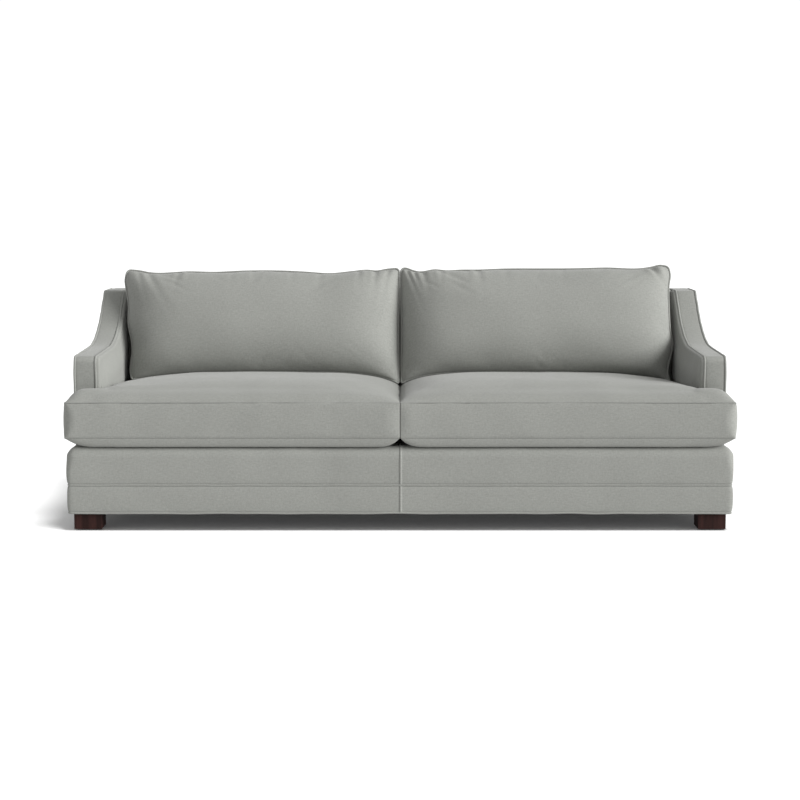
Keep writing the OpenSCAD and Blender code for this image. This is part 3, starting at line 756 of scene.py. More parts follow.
@dataclass(frozen=True)
class Metal(Finish):
    """Bright plated steel with fine scratches."""

    rough: float = 0.35
    scratches: tuple[float, float, float] = (40, 40, 700)

    def paint(self, graph: Graph) -> None:
        """Fills the node tree.

        Args:
            graph: The tree.
        """
        scratch = graph.noise(graph.place().stretch(*self.scratches), 1, 3)
        smear = graph.noise(graph.place(), 30, 3)
        graph.set(Base_Color=graph.mix(smear, rgba(self.colour, 0.8), rgba(self.colour, 1.1)),
                  Metallic=1.0, Roughness=self.rough + (scratch - 0.5) * 0.25)
        graph.bump(scratch, 0.15, 0.0002)


@dataclass(frozen=True)
class Cellular(Finish):
    """Cut foam, felt, fibre or moulded plastic with a fine grain."""

    cell: float = 600
    bump: float = 0.6
    relief: float = 0.0008
    rough: float = 0.95
    contrast: float = 0.25

    def paint(self, graph: Graph) -> None:
        """Fills the node tree.

        Args:
            graph: The tree.
        """
        where = graph.place()
        cells = graph.node("ShaderNodeTexVoronoi", {"feature": "F1"}, {"Vector": where, "Scale": self.cell})
        cloud = graph.noise(where, 25, 3)
        shade = cells * 0.7 + cloud * 0.5
        graph.set(Base_Color=graph.mix(shade, rgba(self.colour, 1 - self.contrast), rgba(self.colour)),
                  Roughness=self.rough)
        graph.bump(cells + cloud * 0.3, self.bump, self.relief)


@dataclass(frozen=True)
class Paper(Finish):
    """Matt background paper with a faint glow, which throws back less light than it shows."""

    glow: float = 0.035
    bounce: float = 0.68
    rough: float = 0.9

    def paint(self, graph: Graph) -> None:
        """Fills the node tree.

        Args:
            graph: The tree.
        """
        seen = graph.node("ShaderNodeLightPath", output="Is Camera Ray")
        fibre = graph.noise(graph.place(), 30, 3)
        near = graph.mix(fibre, rgba(self.colour, 0.99), rgba(self.colour, 1.01))
        graph.set(Base_Color=graph.mix(seen, rgba(self.colour, self.bounce), near),
                  Roughness=self.rough, Specular_IOR_Level=0.0, Emission_Color=rgba((1, 1, 1)),
                  Emission_Strength=self.glow)


FABRIC: Colour = (0.285, 0.290, 0.270)
UPHOLSTERY = Weave("basket_weave", FABRIC)
PIPING = Weave("bias_piping", FABRIC, bias=math.radians(45), cloud=0.08, bump=0.6)
DECKING = Weave("deck_cloth_twill", tuple(c * 0.8 for c in FABRIC), pitch=0.0011, fleck=0.05)
WEBBING = Weave("elastic_webbing", (0.022, 0.022, 0.025), pitch=0.0024, relief=0.0009, sheen=0.1)
DUST = Cellular("non_woven_cloth", (0.012, 0.012, 0.014), cell=900, bump=0.3, rough=0.9)
FOAM = Cellular("cut_foam", (0.72, 0.66, 0.47))
FIBRE = Cellular("fibre_fill", (0.80, 0.80, 0.77), cell=180, relief=0.002)
FELT = Cellular("needled_felt", (0.09, 0.085, 0.08), cell=450)
ESPRESSO = Timber("espresso_stain", (0.017, 0.0066, 0.0054), grain=(0.042, 0.016, 0.0135),
                  stretch=(55, 55, 3), rough=0.62, gloss=0.15, bump=0.35)
HARDWOOD = Timber("sawn_hardwood", (0.50, 0.33, 0.17), grain=(0.33, 0.19, 0.08), rough=0.75)
PLYWOOD = Timber("sanded_plywood", (0.58, 0.40, 0.22), grain=(0.42, 0.26, 0.13),
                 stretch=(40, 3, 30), rough=0.7)
STEEL = Metal("zinc_plate", (0.55, 0.56, 0.57))
THREAD = Weave("seam_thread", tuple(c * 0.8 for c in FABRIC), pitch=0.0012, relief=0.0003)
ZIP_TAPE = Weave("zip_tape_cloth", (0.030, 0.031, 0.033), pitch=0.0012, relief=0.0003, sheen=0.05)
GLIDE = Cellular("black_nylon", (0.012, 0.012, 0.012), cell=1500, bump=0.1, rough=0.4, contrast=0.1)


def carry(finish: Finish, *nodes: str) -> None:
    """Gives CAD nodes a finish.

    Args:
        finish: The finish.
        nodes: Names of the nodes.
    """
    for name in nodes:
        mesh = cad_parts[name].data
        mesh.materials.clear()
        mesh.materials.append(finish.material())


# Sub-assemblies


class Assembly:
    """A part of the sofa that knows its pieces and the CAD nodes that they stand for."""

    body = "frame"
    slot = "upholstery"

    def add(self, pattern: Pattern, finish: Finish, *nodes: str, slot: Optional[str] = None,
            body: Optional[str] = None, fill: Optional[float] = None,
            work: Optional[Callable[[bpy.types.Object], None]] = None) -> bpy.types.Object:
        """Builds a piece, puts it on its body and lets it stand for CAD nodes.

        Args:
            pattern: Its mesh.
            finish: Its finish.
            nodes: The CAD nodes that it stands for.
            slot: Its material slot.
            body: The CAD body that it rides on.
            fill: How full it is stuffed, for a padded piece.
            work: What shapes the mesh before it is placed.
        Returns:
            The piece.
        """
        piece = pattern.build(finish)
        if work:
            work(piece)
        self.own(piece, nodes, slot, body, fill)
        return piece

    def own(self, piece: bpy.types.Object, nodes: Sequence[str], slot: Optional[str] = None,
            body: Optional[str] = None, fill: Optional[float] = None) -> None:
        """Puts a piece on its body and in the place of CAD nodes.

        Args:
            piece: The piece.
            nodes: CAD nodes that it stands for.
            slot: Its material slot; not used.
            body: The CAD body that it rides on.
            fill: How full it is stuffed, for a padded piece; not used.
        """
        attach(piece, body or self.body)
        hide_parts(*nodes)
        LOG.info("%s: %d points", piece.name, len(piece.data.vertices))

    def build(self) -> None:
        """Makes every piece."""
        raise NotImplementedError


def around(inset: float, z: Points, power: float, xs: Points, ys: Points, r: float,
           rear: bool) -> Points:
    """One level of the base's outline from the right rear round the front to the left rear.

    Args:
        inset: Distance inside the finished face.
        z: Its height.
        power: Squareness of the corners: 2 is round.
        xs: X places of the front, from left to right.
        ys: Y places of a side, from front to rear.
        r: Size of the corner zone.
        rear: Whether the level closes around the rear as well.
    Returns:
        Points of the level.
    """
    b = BODY
    t = np.radians(np.linspace(0, 90, 15))
    cx, cy = b.side_x - r, b.front_y + r
    bend = (r - inset) * joined(np.cos(t) ** (2 / power), np.sin(t) ** (2 / power))
    side = joined(b.side_x - inset, ys)[::-1]
    corner = joined(cx + bend[:, 0], cy - bend[:, 1])
    front = joined(xs[::-1], b.front_y + inset)
    flat = np.concatenate([side, corner[1:-1], front, (corner * [-1, 1])[::-1][1:-1], (side * [-1, 1])[::-1]])
    if rear:
        cy = b.rear_y - r
        corner = joined(cx + bend[:, 0], cy + bend[:, 1])
        back = joined(xs, b.rear_y - inset)
        flat = np.concatenate([flat, (corner * [-1, 1])[1:-1], back, corner[::-1][1:-1], side[:1]])
    return joined(*flat.T, z)


@dataclass
class Base(Assembly):
    """Front border with its rolled lip, lower band, and the piping above and below it."""

    puff: float = 2.6
    puff_run: float = 14.0
    side_puff: float = 2.0
    side_run: float = 8.0
    tuck: float = 1.6
    tuck_run: float = 2.0
    seam: float = 2.4
    seam_w: float = 2.4
    corner: float = 34.0
    square: float = 7.0
    lip_square: float = 3.2
    square_to: float = 185.0
    wave: float = 0.5
    wave_span: float = 160.0
    turned_in: float = 16.0

    def soften(self, p: Points, low: float, high: float, seed: int, top: bool) -> Points:
        """Puffs a wall between its piping, with a vertical seam down the middle of the front.

        Args:
            p: Grid of the wall.
            low: Height of its lower seam.
            high: Height of its upper seam.
            seed: Seed of its unevenness.
            top: Whether it runs on into the rolled lip.
        Returns:
            The puffed grid.
        """
        b = BODY
        n = normals(p)
        n[..., 2] *= 0.3
        n /= np.linalg.norm(n, axis=-1, keepdims=True)
        centre = np.array([0, 0, p[..., 2].mean()])
        n *= np.sign(((p - centre) * n).sum(-1, keepdims=True))
        d_high = (high - p[..., 2]) if not top else np.full(p.shape[:2], 60.0)
        d = np.minimum(np.maximum(p[..., 2] - low, 0), np.maximum(d_high, 0))
        lift = self.puff * filling(d, self.puff_run) - self.tuck * dip(d, self.tuck_run)
        mid = (np.abs(p[..., 1] - b.front_y) < 60) | (np.abs(p[..., 1] - b.rear_y) < 60)
        x = p[..., 0]
        lift += np.where(mid, self.seam * (bell(x - 1.8, self.seam_w) - 0.35 * bell(x + 3, 2.5)), 0)
        lift += self.wave * Ripple(seed, self.wave_span)(p) * filling(d, 20)
        side = self.side_puff * smooth((np.abs(x) - b.side_x + 6) / 5) * filling(d, self.side_run)
        return p + n * (lift + side)[..., None]

    def build(self) -> None:
        """Makes every piece."""
        b, r = BODY, self.corner
        xs = stations(r - b.side_x, b.side_x - r, 22, [0])
        ys = stations(b.front_y + r, b.arm_y, 14, [b.arm_y])
        low = b.band_h + b.tuck_gap
        middle = b.deck_h - b.lip_r / math.cos(b.pitch) - b.lip_r * math.tan(b.pitch)
        softer = self.square - self.lip_square
        run = middle - self.square_to
        levels = [around(0, z, self.square - softer * smooth((z - self.square_to) / run), xs, ys, r, False)
                  for z in stations(low, middle, 9, [low])]
        drop = math.tan(b.pitch)
        for t in np.radians(np.linspace(0, 88.5, 15))[1:]:
            ring = around(b.lip_r * (1 - math.cos(t)), middle + b.lip_r * math.sin(t), self.lip_square,
                          xs, ys, r, False)
            ring[:, 2] -= (ring[:, 1] - b.front_y - b.lip_r) * drop * math.sin(t) ** 2
            levels.append(ring)
        wall = self.soften(np.array(levels), low, b.deck_h, 3, True)
        shell = Pattern("front_border_fabric").grid(wall, flip=True)
        gx, gy = np.meshgrid(stations(r - b.side_x, b.side_x - r, 30, [0]),
                             stations(b.front_y + r, b.arm_y, 16))
        shell.grid(joined(gx, gy, b.deck_z(gy) - 0.15 - 0.8 * bell(gx, 1.3)))
        self.add(shell, UPHOLSTERY, "front_border")

        sy = stations(b.front_y + r, b.rear_y - r, 22)
        foot, head = b.hem_h + b.tuck_gap, b.band_h - b.tuck_gap
        band = [around(0, z, self.square, xs, sy, r, True) for z in stations(foot, head, 9, [foot, head])]
        wall = self.soften(np.array(band), foot, head, 5, False)
        wall[:, -1] = wall[:, 0]
        shell = Pattern("lower_band_fabric").grid(wall, flip=True)
        inner = wall[0].copy()
        inner[:, :2] *= (b.side_x - self.turned_in) / b.side_x
        inner[:, 2] = foot + 0.5
        shell.grid(np.stack([inner, wall[0]]), flip=True)
        self.add(shell, UPHOLSTERY, "lower_border")

        for name, z, seed, wave in (("base_welt", b.band_h, 11, 0.25), ("hem_welt", b.hem_h, 12, 0.45)):
            path = around(b.welt_in, z, self.square, stations(r - b.side_x, b.side_x - r, 16, [0]),
                          stations(b.front_y + r, b.rear_y - r, 16), r, True)[:-1]
            path[:, 2] += wave * Ripple(seed, 110)(path)
            out = path[:, :2] / np.linalg.norm(path[:, :2], axis=1, keepdims=True)
            path[:, :2] += 0.4 * wave * Ripple(seed + 5, 90)(path)[:, None] * out
            self.add(Pattern(f"{name}_cord").tube(path, b.welt_d / 2, (0, 0, 1), 12, True),
                     PIPING, name, slot="welt")


@dataclass
class Arm(Assembly):
    """One sloped arm: its band, its padded inside, its outside panel and the piping on both edges."""

    side: Side = Side.RIGHT
    shoulder: float = 11.0
    firmness: float = 3.0
    tuck: float = 1.8
    band_tuck_run: float = 2.2
    panel_tuck_run: float = 2.6
    crown: float = 1.4
    crown_run: float = 12.0
    bulge: float = 13.5
    seat_top: float = 152.0
    fade_top: float = 90.0
    fade_seat: float = 16.0
    fade_front: float = 110.0
    fade_rear: float = 120.0
    past_back: float = 40.0
    panel_in: float = 2.5
    panel_fill: float = 22.0
    cord_share: float = 1.25
    edge_steps: tuple[float, ...] = (0, 0.25, 0.8, 1.6, 2.6, 4, 6, 8.5, 11.5, 15, 20)
    soft_steps: tuple[float, ...] = (0, 0.04, 0.15, 0.4, 0.8, 1.4, 2.4, 3.8, 5.6, 8, 11.5, 15, 20.5)

    def mirrored(self, p: Points) -> Points:
        """The points on this arm's side."""
        return p * [self.side.value, 1, 1]

    def strip(self, low: float, rear: float, depth: Callable[[Points], Points], start: float,
              steps: Sequence[float]) -> Points:
        """A strip that follows the arm's edge inwards.

        Args:
            low: Height of its foot at the front.
            rear: Y of its end.
            depth: X of the surface at a distance inside the edge.
            start: Distance of its first line inside the edge.
            steps: Distances of its lines inside the first one.
        Returns:
            Grid of points.
        """
        rows = []
        for d in steps:
            edge = BODY.arm_edge(start + d, low, rear)
            rows.append((edge, float(depth(np.array(start + d)))))
        count = min(len(e) for e, _ in rows)
        out = []
        for edge, x in rows:
            s = lengths(edge)
            t = np.linspace(0, s[-1], count)
            y, z = (np.interp(t, s, edge[:, k]) for k in range(2))
            out.append(joined(x, y, z))
        return np.array(out)

    def swollen(self, p: Points) -> Points:
        """The padded inside of the arm, which swells above the seat cushion.

        Args:
            p: Grid of the inside.
        Returns:
            The swollen grid.
        """
        y, z = p[..., 1], p[..., 2]
        under = BODY.arm_top(y) - z
        above = z - BODY.deck_z(y) - self.seat_top
        room = smooth(under / self.fade_top) * smooth(above / self.fade_seat)
        room = room * smooth((y - BODY.arm_y) / self.fade_front)
        p[..., 0] -= self.bulge * room * smooth((BODY.back_y + self.past_back - y) / self.fade_rear)
        return p

    def sheet(self, ys: Points, low: Callable[[Points], Points], off: float,
              depth: Callable[[Points], Points]) -> Points:
        """A flat fill of the arm's outline, off inside its edge, whose x follows the distance to the edge.

        Args:
            ys: Places from front to rear.
            low: Height of its lower edge at y.
            off: Distance of its edge inside the outline.
            depth: X of the surface at a distance inside the outline.
        Returns:
            Grid of points.
        """
        edge = BODY.arm_edge(off, BODY.hem_h, BODY.rear_y + 50)
        ys = np.append(edge[0, 0], ys[ys > edge[0, 0] + 0.5])
        top_edge = edge[edge[:, 1] >= BODY.arm_h - BODY.front_r - 1]
        high = np.interp(ys, top_edge[:, 0], top_edge[:, 1])
        t = np.linspace(0, 1, 36)[:, None]
        lows = np.minimum(low(ys), high - 0.01)
        z = lows[None] + (high - lows)[None] * t
        y = np.broadcast_to(ys, z.shape)
        flat = joined(y, z)
        outline = BODY.arm_edge(0, 0, BODY.rear_y + 50)
        x = depth(distance_to(flat, outline))
        return joined(x, y, z)

    def build(self) -> None:
        """Makes every piece."""
        b, left = BODY, self.side is Side.LEFT
        label = self.side.label
        low = float(b.deck_z(b.arm_y))

        edge = b.arm_edge(0, low, b.rear_y - b.cover_t)
        ends = b.welt_x + 2.2, b.side_x - 3.8
        xs = stations(*ends, 9, ends)
        s = lengths(edge)
        line = joined(0.0, *edge.T)
        way = np.gradient(line, axis=0)
        way /= np.linalg.norm(way, axis=1, keepdims=True)
        out = joined(0.0, -way[:, 2], way[:, 1])
        d = np.minimum(xs - xs[0], xs[-1] - xs)
        lift = self.crown * filling(d, self.crown_run) - self.tuck * dip(d, self.band_tuck_run)
        p = line[:, None] + out[:, None] * lift[None, :, None]
        p[..., 0] = xs
        ripple = Ripple(21 + left, 150)(p) * 0.5 * filling(d, 15)
        p += out[:, None] * ripple[..., None]
        cloth = joined(xs[None], s[:, None])
        self.add(Pattern(f"{label}_arm_band_fabric").grid(self.mirrored(p), cloth, flip=left), UPHOLSTERY,
                 f"{label}_arm_band")

        def inside(d: Points) -> Points:
            """X of the padded inside at a distance from the arm's edge."""
            rest = (1 - np.clip(d / self.shoulder, 0, 1)) ** self.firmness
            return b.welt_x + 1.5 * np.exp(-d / 1.5) - b.arm_swell * (1 - rest) ** (1 / self.firmness)

        def inside_low(y: Points) -> Points:
            """Height of the inside panel's lower edge, on the deck and along the back."""
            rise = b.back_z + (y - b.back_y) / math.tan(b.recline)
            return np.maximum(b.deck_z(y), rise)

        shell = Pattern(f"{label}_inside_arm_fabric")
        rear = float(b.lean_y(b.back_h - b.cover_t))
        strip = self.swollen(self.strip(low, rear, inside, 0.0, self.soft_steps))
        shell.grid(self.mirrored(strip), flip=not left)
        ys = stations(b.arm_y, rear - 1, 14, [b.arm_y])
        fill = self.swollen(self.sheet(ys, inside_low, self.soft_steps[-1], inside))
        shell.grid(self.mirrored(fill), flip=not left)
        self.add(shell, UPHOLSTERY, f"{label}_inside_arm")

        def outside(d: Points) -> Points:
            """X of the outside panel at a distance from the arm's edge."""
            return b.side_x - self.tuck * dip(d, self.panel_tuck_run) - 0.3 + 0.3 * np.exp(-d / 40)

        shell = Pattern(f"{label}_outside_arm_fabric")
        base = b.band_h + b.tuck_gap
        strip = self.strip(base, b.rear_y, outside, self.panel_in, self.edge_steps)
        shell.grid(self.mirrored(strip), flip=left)
        ys = stations(b.arm_y, b.rear_y - 1, 16, [b.arm_y, b.rear_y - 1])
        fill = self.sheet(ys, lambda y: np.full(len(y), base), self.panel_fill, outside)
        shell.grid(self.mirrored(fill), flip=left)
        self.add(shell, UPHOLSTERY, f"{label}_outside_arm")
        self.pipe(low)

    def pipe(self, low: float) -> None:
        """Makes the piping of both edges of the band.

        Args:
            low: Height of the piping's foot.
        """
        b = BODY
        outer = b.arm_edge(b.welt_in, low + b.tuck_gap, b.rear_y - b.welt_in)
        foot = np.array([[b.rear_y - b.welt_in, b.band_h + b.tuck_gap]])
        outer = resample(np.concatenate([outer, foot]), 12)
        inner = b.arm_edge(b.welt_in, low + b.tuck_gap, b.rear_y - b.welt_in - b.tuck_gap)
        for name, path, x in (("outer", outer, b.side_x - b.welt_in), ("inner", inner, b.welt_x)):
            p = joined(x, *path.T)
            p[:, 0] += 0.35 * Ripple(31, 70)(p)
            pattern = Pattern(f"{self.side.label}_arm_{name}_piping")
            pattern.tube(self.mirrored(p), self.cord_share * b.welt_d / 2, (1, 0, 0), 12)
            self.add(pattern, PIPING, "arm_welts", slot="welt")


@dataclass
class Back(Assembly):
    """Inside back rolled over the top of the frame, outside back and the piping between them."""

    roll: float = 16.0
    tuck: float = 3.0
    band_tuck_run: float = 3.0
    panel_tuck_run: float = 2.6
    puff: float = 1.2
    puff_run: float = 30.0
    seam: float = 1.3

    def build(self) -> None:
        """Makes every piece."""
        b = BODY
        top = b.back_h - b.cover_t
        xs = stations(-b.face_x, b.face_x, 30, [-b.face_x, b.face_x])
        zs = stations(b.back_z, top, 20, [b.back_z])
        inside = joined(xs[None], b.lean_y(zs)[:, None] + 0.1, zs[:, None])
        self.add(Pattern("inside_back_fabric").grid(inside), UPHOLSTERY, "inside_back")
        end = np.array([b.rear_y - 4, b.back_h])
        turn = b.lean_y(top) + self.roll * 0.9
        curve = np.concatenate([arc([turn, b.back_h - self.roll], self.roll, 176, 90, 10),
                                resample(np.array([[turn + 8, b.back_h], end]), 12)])
        curve[:, 1] = np.minimum(curve[:, 1], b.back_h)
        xs = stations(-b.face_x - 6, b.face_x + 6, 30, [-b.face_x - 6, b.face_x + 6])
        d = np.minimum(xs - xs[0], xs[-1] - xs)
        drop = self.tuck * dip(d, self.band_tuck_run)
        band = joined(xs[None], curve[:, :1], curve[:, 1:] - drop[None])
        self.add(Pattern("back_top_fabric").grid(band), UPHOLSTERY, "back_top_band")
        half = b.side_x - b.cover_t
        low = b.band_h + b.tuck_gap
        xs = stations(-half, half, 24, [-half, 0, half])
        zs = stations(low, top, 16, [low, top])
        gx, gz = np.meshgrid(xs, zs)
        d = np.minimum(np.minimum(gx - xs[0], xs[-1] - gx), np.minimum(gz - low, top - gz))
        lift = self.puff * filling(d, self.puff_run) - self.tuck * dip(d, self.panel_tuck_run)
        lift -= self.seam * bell(gx, 1.3)
        rear = joined(gx, b.rear_y + lift, gz)
        rear[..., 1] += 0.5 * Ripple(41, 200)(rear) * filling(d, self.puff_run)
        self.add(Pattern("outside_back_fabric").grid(rear, flip=True), UPHOLSTERY, "outside_back")
        reach = b.side_x - b.welt_in - b.tuck_gap
        path = np.linspace([-reach, b.rear_y - b.welt_in, b.back_h - b.welt_in],
                           [reach, b.rear_y - b.welt_in, b.back_h - b.welt_in], 160)
        path[:, 2] += 0.3 * Ripple(43, 80)(path)
        self.add(Pattern("back_top_piping").tube(path, b.welt_d / 2, (0, 0, 1), 12), PIPING,
                 "back_welt", slot="welt")


@dataclass
class Deck(Assembly):
    """The cloth that the seat cushions lie on."""

    sag: float = 2.0
    sag_side: float = 200.0
    sag_end: float = 150.0

    def build(self) -> None:
        """Makes every piece."""
        b = BODY
        gx, gy = np.meshgrid(stations(-b.face_x, b.face_x, 30, [0]),
                             stations(b.arm_y, b.back_y, 20, [b.arm_y]))
        sag = self.sag * smooth((b.face_x - np.abs(gx)) / self.sag_side)
        sag = sag * smooth((b.back_y - gy) / self.sag_end)
        sag = sag * smooth((gy - b.arm_y) / self.sag_end) + 1.2 * bell(gy - b.arm_y, 2)
        p = joined(gx, gy, b.deck_z(gy) - 0.15 - sag)
        cloth = self.add(Pattern("deck_cloth_fabric").grid(p), DECKING, "deck_cloth")


@dataclass
class Underside(Assembly):
    """The black cloth that is stapled under the frame, between the legs."""

    sag: float = 3.0
    sag_run: float = 150.0
    slack: float = 1.0
    inset: float = 0.8
    pleat: float = 0.5

    def build(self) -> None:
        """Makes every piece."""
        low, high = (np.array(corner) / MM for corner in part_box("dust_cover"))
        front, rear = (np.array(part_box(f"{end}_right_leg")) / MM for end in ("front", "rear"))
        in_x, near, far = front[0, 0] - self.slack, front[1, 1] + self.slack, rear[0, 1] - self.slack
        gx, gy = np.meshgrid(stations(low[0], high[0], 40, [low[0], -in_x, in_x, high[0]]),
                             stations(low[1], high[1], 40, [low[1], near, far, high[1]]))
        mx, my = (gx[:-1, 1:] + gx[:-1, :-1]) / 2, (gy[1:, 1:] + gy[:-1, 1:]) / 2
        keep = (np.abs(mx) < in_x) | ((my > near) & (my < far))
        d = np.minimum(high[0] - np.abs(gx), np.minimum(gy - low[1], high[1] - gy))
        z = high[2] - self.inset - self.sag * smooth(d / self.sag_run)
        pleat = np.sin(gx * TURN / 130) * bell(gy - low[1], 60)
        pleat = pleat + np.sin(gy * TURN / 110) * bell(gx, 900) * 0.3
        p = joined(gx, gy, z + self.pleat * pleat * smooth(d / 12))
        cloth = self.add(Pattern("dust_cover_cloth").grid(p, flip=True, keep=keep), DUST, "dust_cover",
                         slot="dust_cloth")
        flat = np.array([high[0] - low[0], high[1] - low[1]]) * MM
        corners = 2 * (high[0] - in_x) * (near - low[1] + high[1] - far) * MM * MM
        float(flat[0] * flat[1] - corners)


@dataclass
class Cushion(Assembly):
    """A loose stuffed cover, which a cloth simulation fills."""

    side: Side = Side.RIGHT
    pressure: float = 4.0
    slack: float = 0.001
    seam_slack: float = 0.009
    seam_reach: float = 50.0
    cap: float = 22.0
    frames: int = 16
    calm: int = 1
    firmness: float = 40.0
    bend_firmness: float = 1.5
    damping: float = 3.0
    gap: float = 0.4

    def held(self, p: Points) -> Points:
        """Share from 0 to 1 by which a point is held in its place while the cover fills."""
        raise NotImplementedError

    def near_seam(self, p: Points) -> Points:
        """Share from 0 to 1 of the spare fabric that is gathered at a seam near a point."""
        raise NotImplementedError

    def work(self, p: Points, out: Points) -> Points:
        """Points of the filled cover with its puckers and folds, along the directions out of it."""
        raise NotImplementedError

    def fill(self, piece: bpy.types.Object) -> None:
        """Fills the cover and works it over.

        Args:
            piece: The closed cover, in metres.
        """
        start = read(piece.data, "co") / MM
        made = self.simulate(piece, start)
        move_to(piece.data, made)
        move_to(piece.data, self.work(made, read(piece.data, "normal")))

    def calmed(self, move: Points, mesh: bpy.types.Mesh, held: Points) -> Points:
        """Moves of a cover's points evened out with those of their neighbours, so that no creases stay.

        Args:
            move: Move of each point.
            mesh: The cover.
            held: Share by which each point is held.
        Returns:
            The calmer moves.
        """
        ends = np.empty(2 * len(mesh.edges), int)
        mesh.edges.foreach_get("vertices", ends)
        ends = ends.reshape(-1, 2)
        links = np.maximum(np.bincount(ends.ravel(), minlength=len(move)), 1)[:, None]
        for _ in range(self.calm):
            total = np.stack([np.bincount(ends[:, 0], way[ends[:, 1]], len(move))
                              + np.bincount(ends[:, 1], way[ends[:, 0]], len(move)) for way in move.T], -1)
            move = (1 - held[:, None]) * (move + total / links) / 2
        return move

    def simulate(self, piece: bpy.types.Object, start: Points) -> Points:
        """Points of the cover after its fabric has been blown up between the places where it is held.

        Args:
            piece: The cover.
            start: Its points before.
        Returns:
            Its points after.
        """
        for name, share in (("held", self.held(start)), ("gathered", self.near_seam(start))):
            group = piece.vertex_groups.new(name=name)
            for level in np.unique(share.round(1)):
                chosen = np.flatnonzero(share.round(1) == level)
                group.add(chosen.tolist(), float(level), "REPLACE")
        cloth = piece.modifiers.new("stuffing", "CLOTH")
        rules = cloth.settings
        rules.vertex_group_mass = "held"
        rules.vertex_group_shrink = "gathered"
        rules.shrink_min = -self.slack
        rules.shrink_max = -self.seam_slack
        rules.use_pressure = True
        rules.uniform_pressure_force = self.pressure
        rules.effector_weights.gravity = 0
        rules.tension_stiffness = rules.compression_stiffness = self.firmness
        rules.bending_stiffness = self.bend_firmness
        rules.air_damping = self.damping
        cloth.point_cache.frame_end = self.frames
        scene = bpy.context.scene
        for frame_number in range(1, self.frames + 1):
            scene.frame_set(frame_number)
        made = read(piece.evaluated_get(bpy.context.evaluated_depsgraph_get()).data, "co")
        piece.modifiers.remove(cloth)
        piece.vertex_groups.clear()
        scene.frame_set(1)
        move = self.calmed(made / MM - start, piece.data, self.held(start))
        far = np.linalg.norm(move, axis=1, keepdims=True)
        LOG.info("%s: filled by up to %.1f mm", piece.name, far.max())
        return start + move * self.cap * np.tanh(far / self.cap) / np.maximum(far, 1e-9)


def rounded(u: Points, v: Points, r: float) -> tuple[Points, Points]:
    """Shift that turns a square corner into a round one of radius r.

    Args:
        u: Distance inside the corner's one edge.
        v: Distance inside its other edge.
        r: Radius.
    Returns:
        How far each point moves in from the one edge and from the other.
    """
    a, b = np.clip(r - u, 0, r), np.clip(r - v, 0, r)
    return a - a * np.sqrt(1 - b * b / (2 * r * r)), b - b * np.sqrt(1 - a * a / (2 * r * r))


def even(n: int, dense: float = 0.4) -> Points:
    """n + 1 places from 0 to 1, closer together towards both ends."""
    t = np.linspace(0, 1, n + 1)
    return (1 - dense) * t + dense * (1 - np.cos(t * math.pi)) / 2


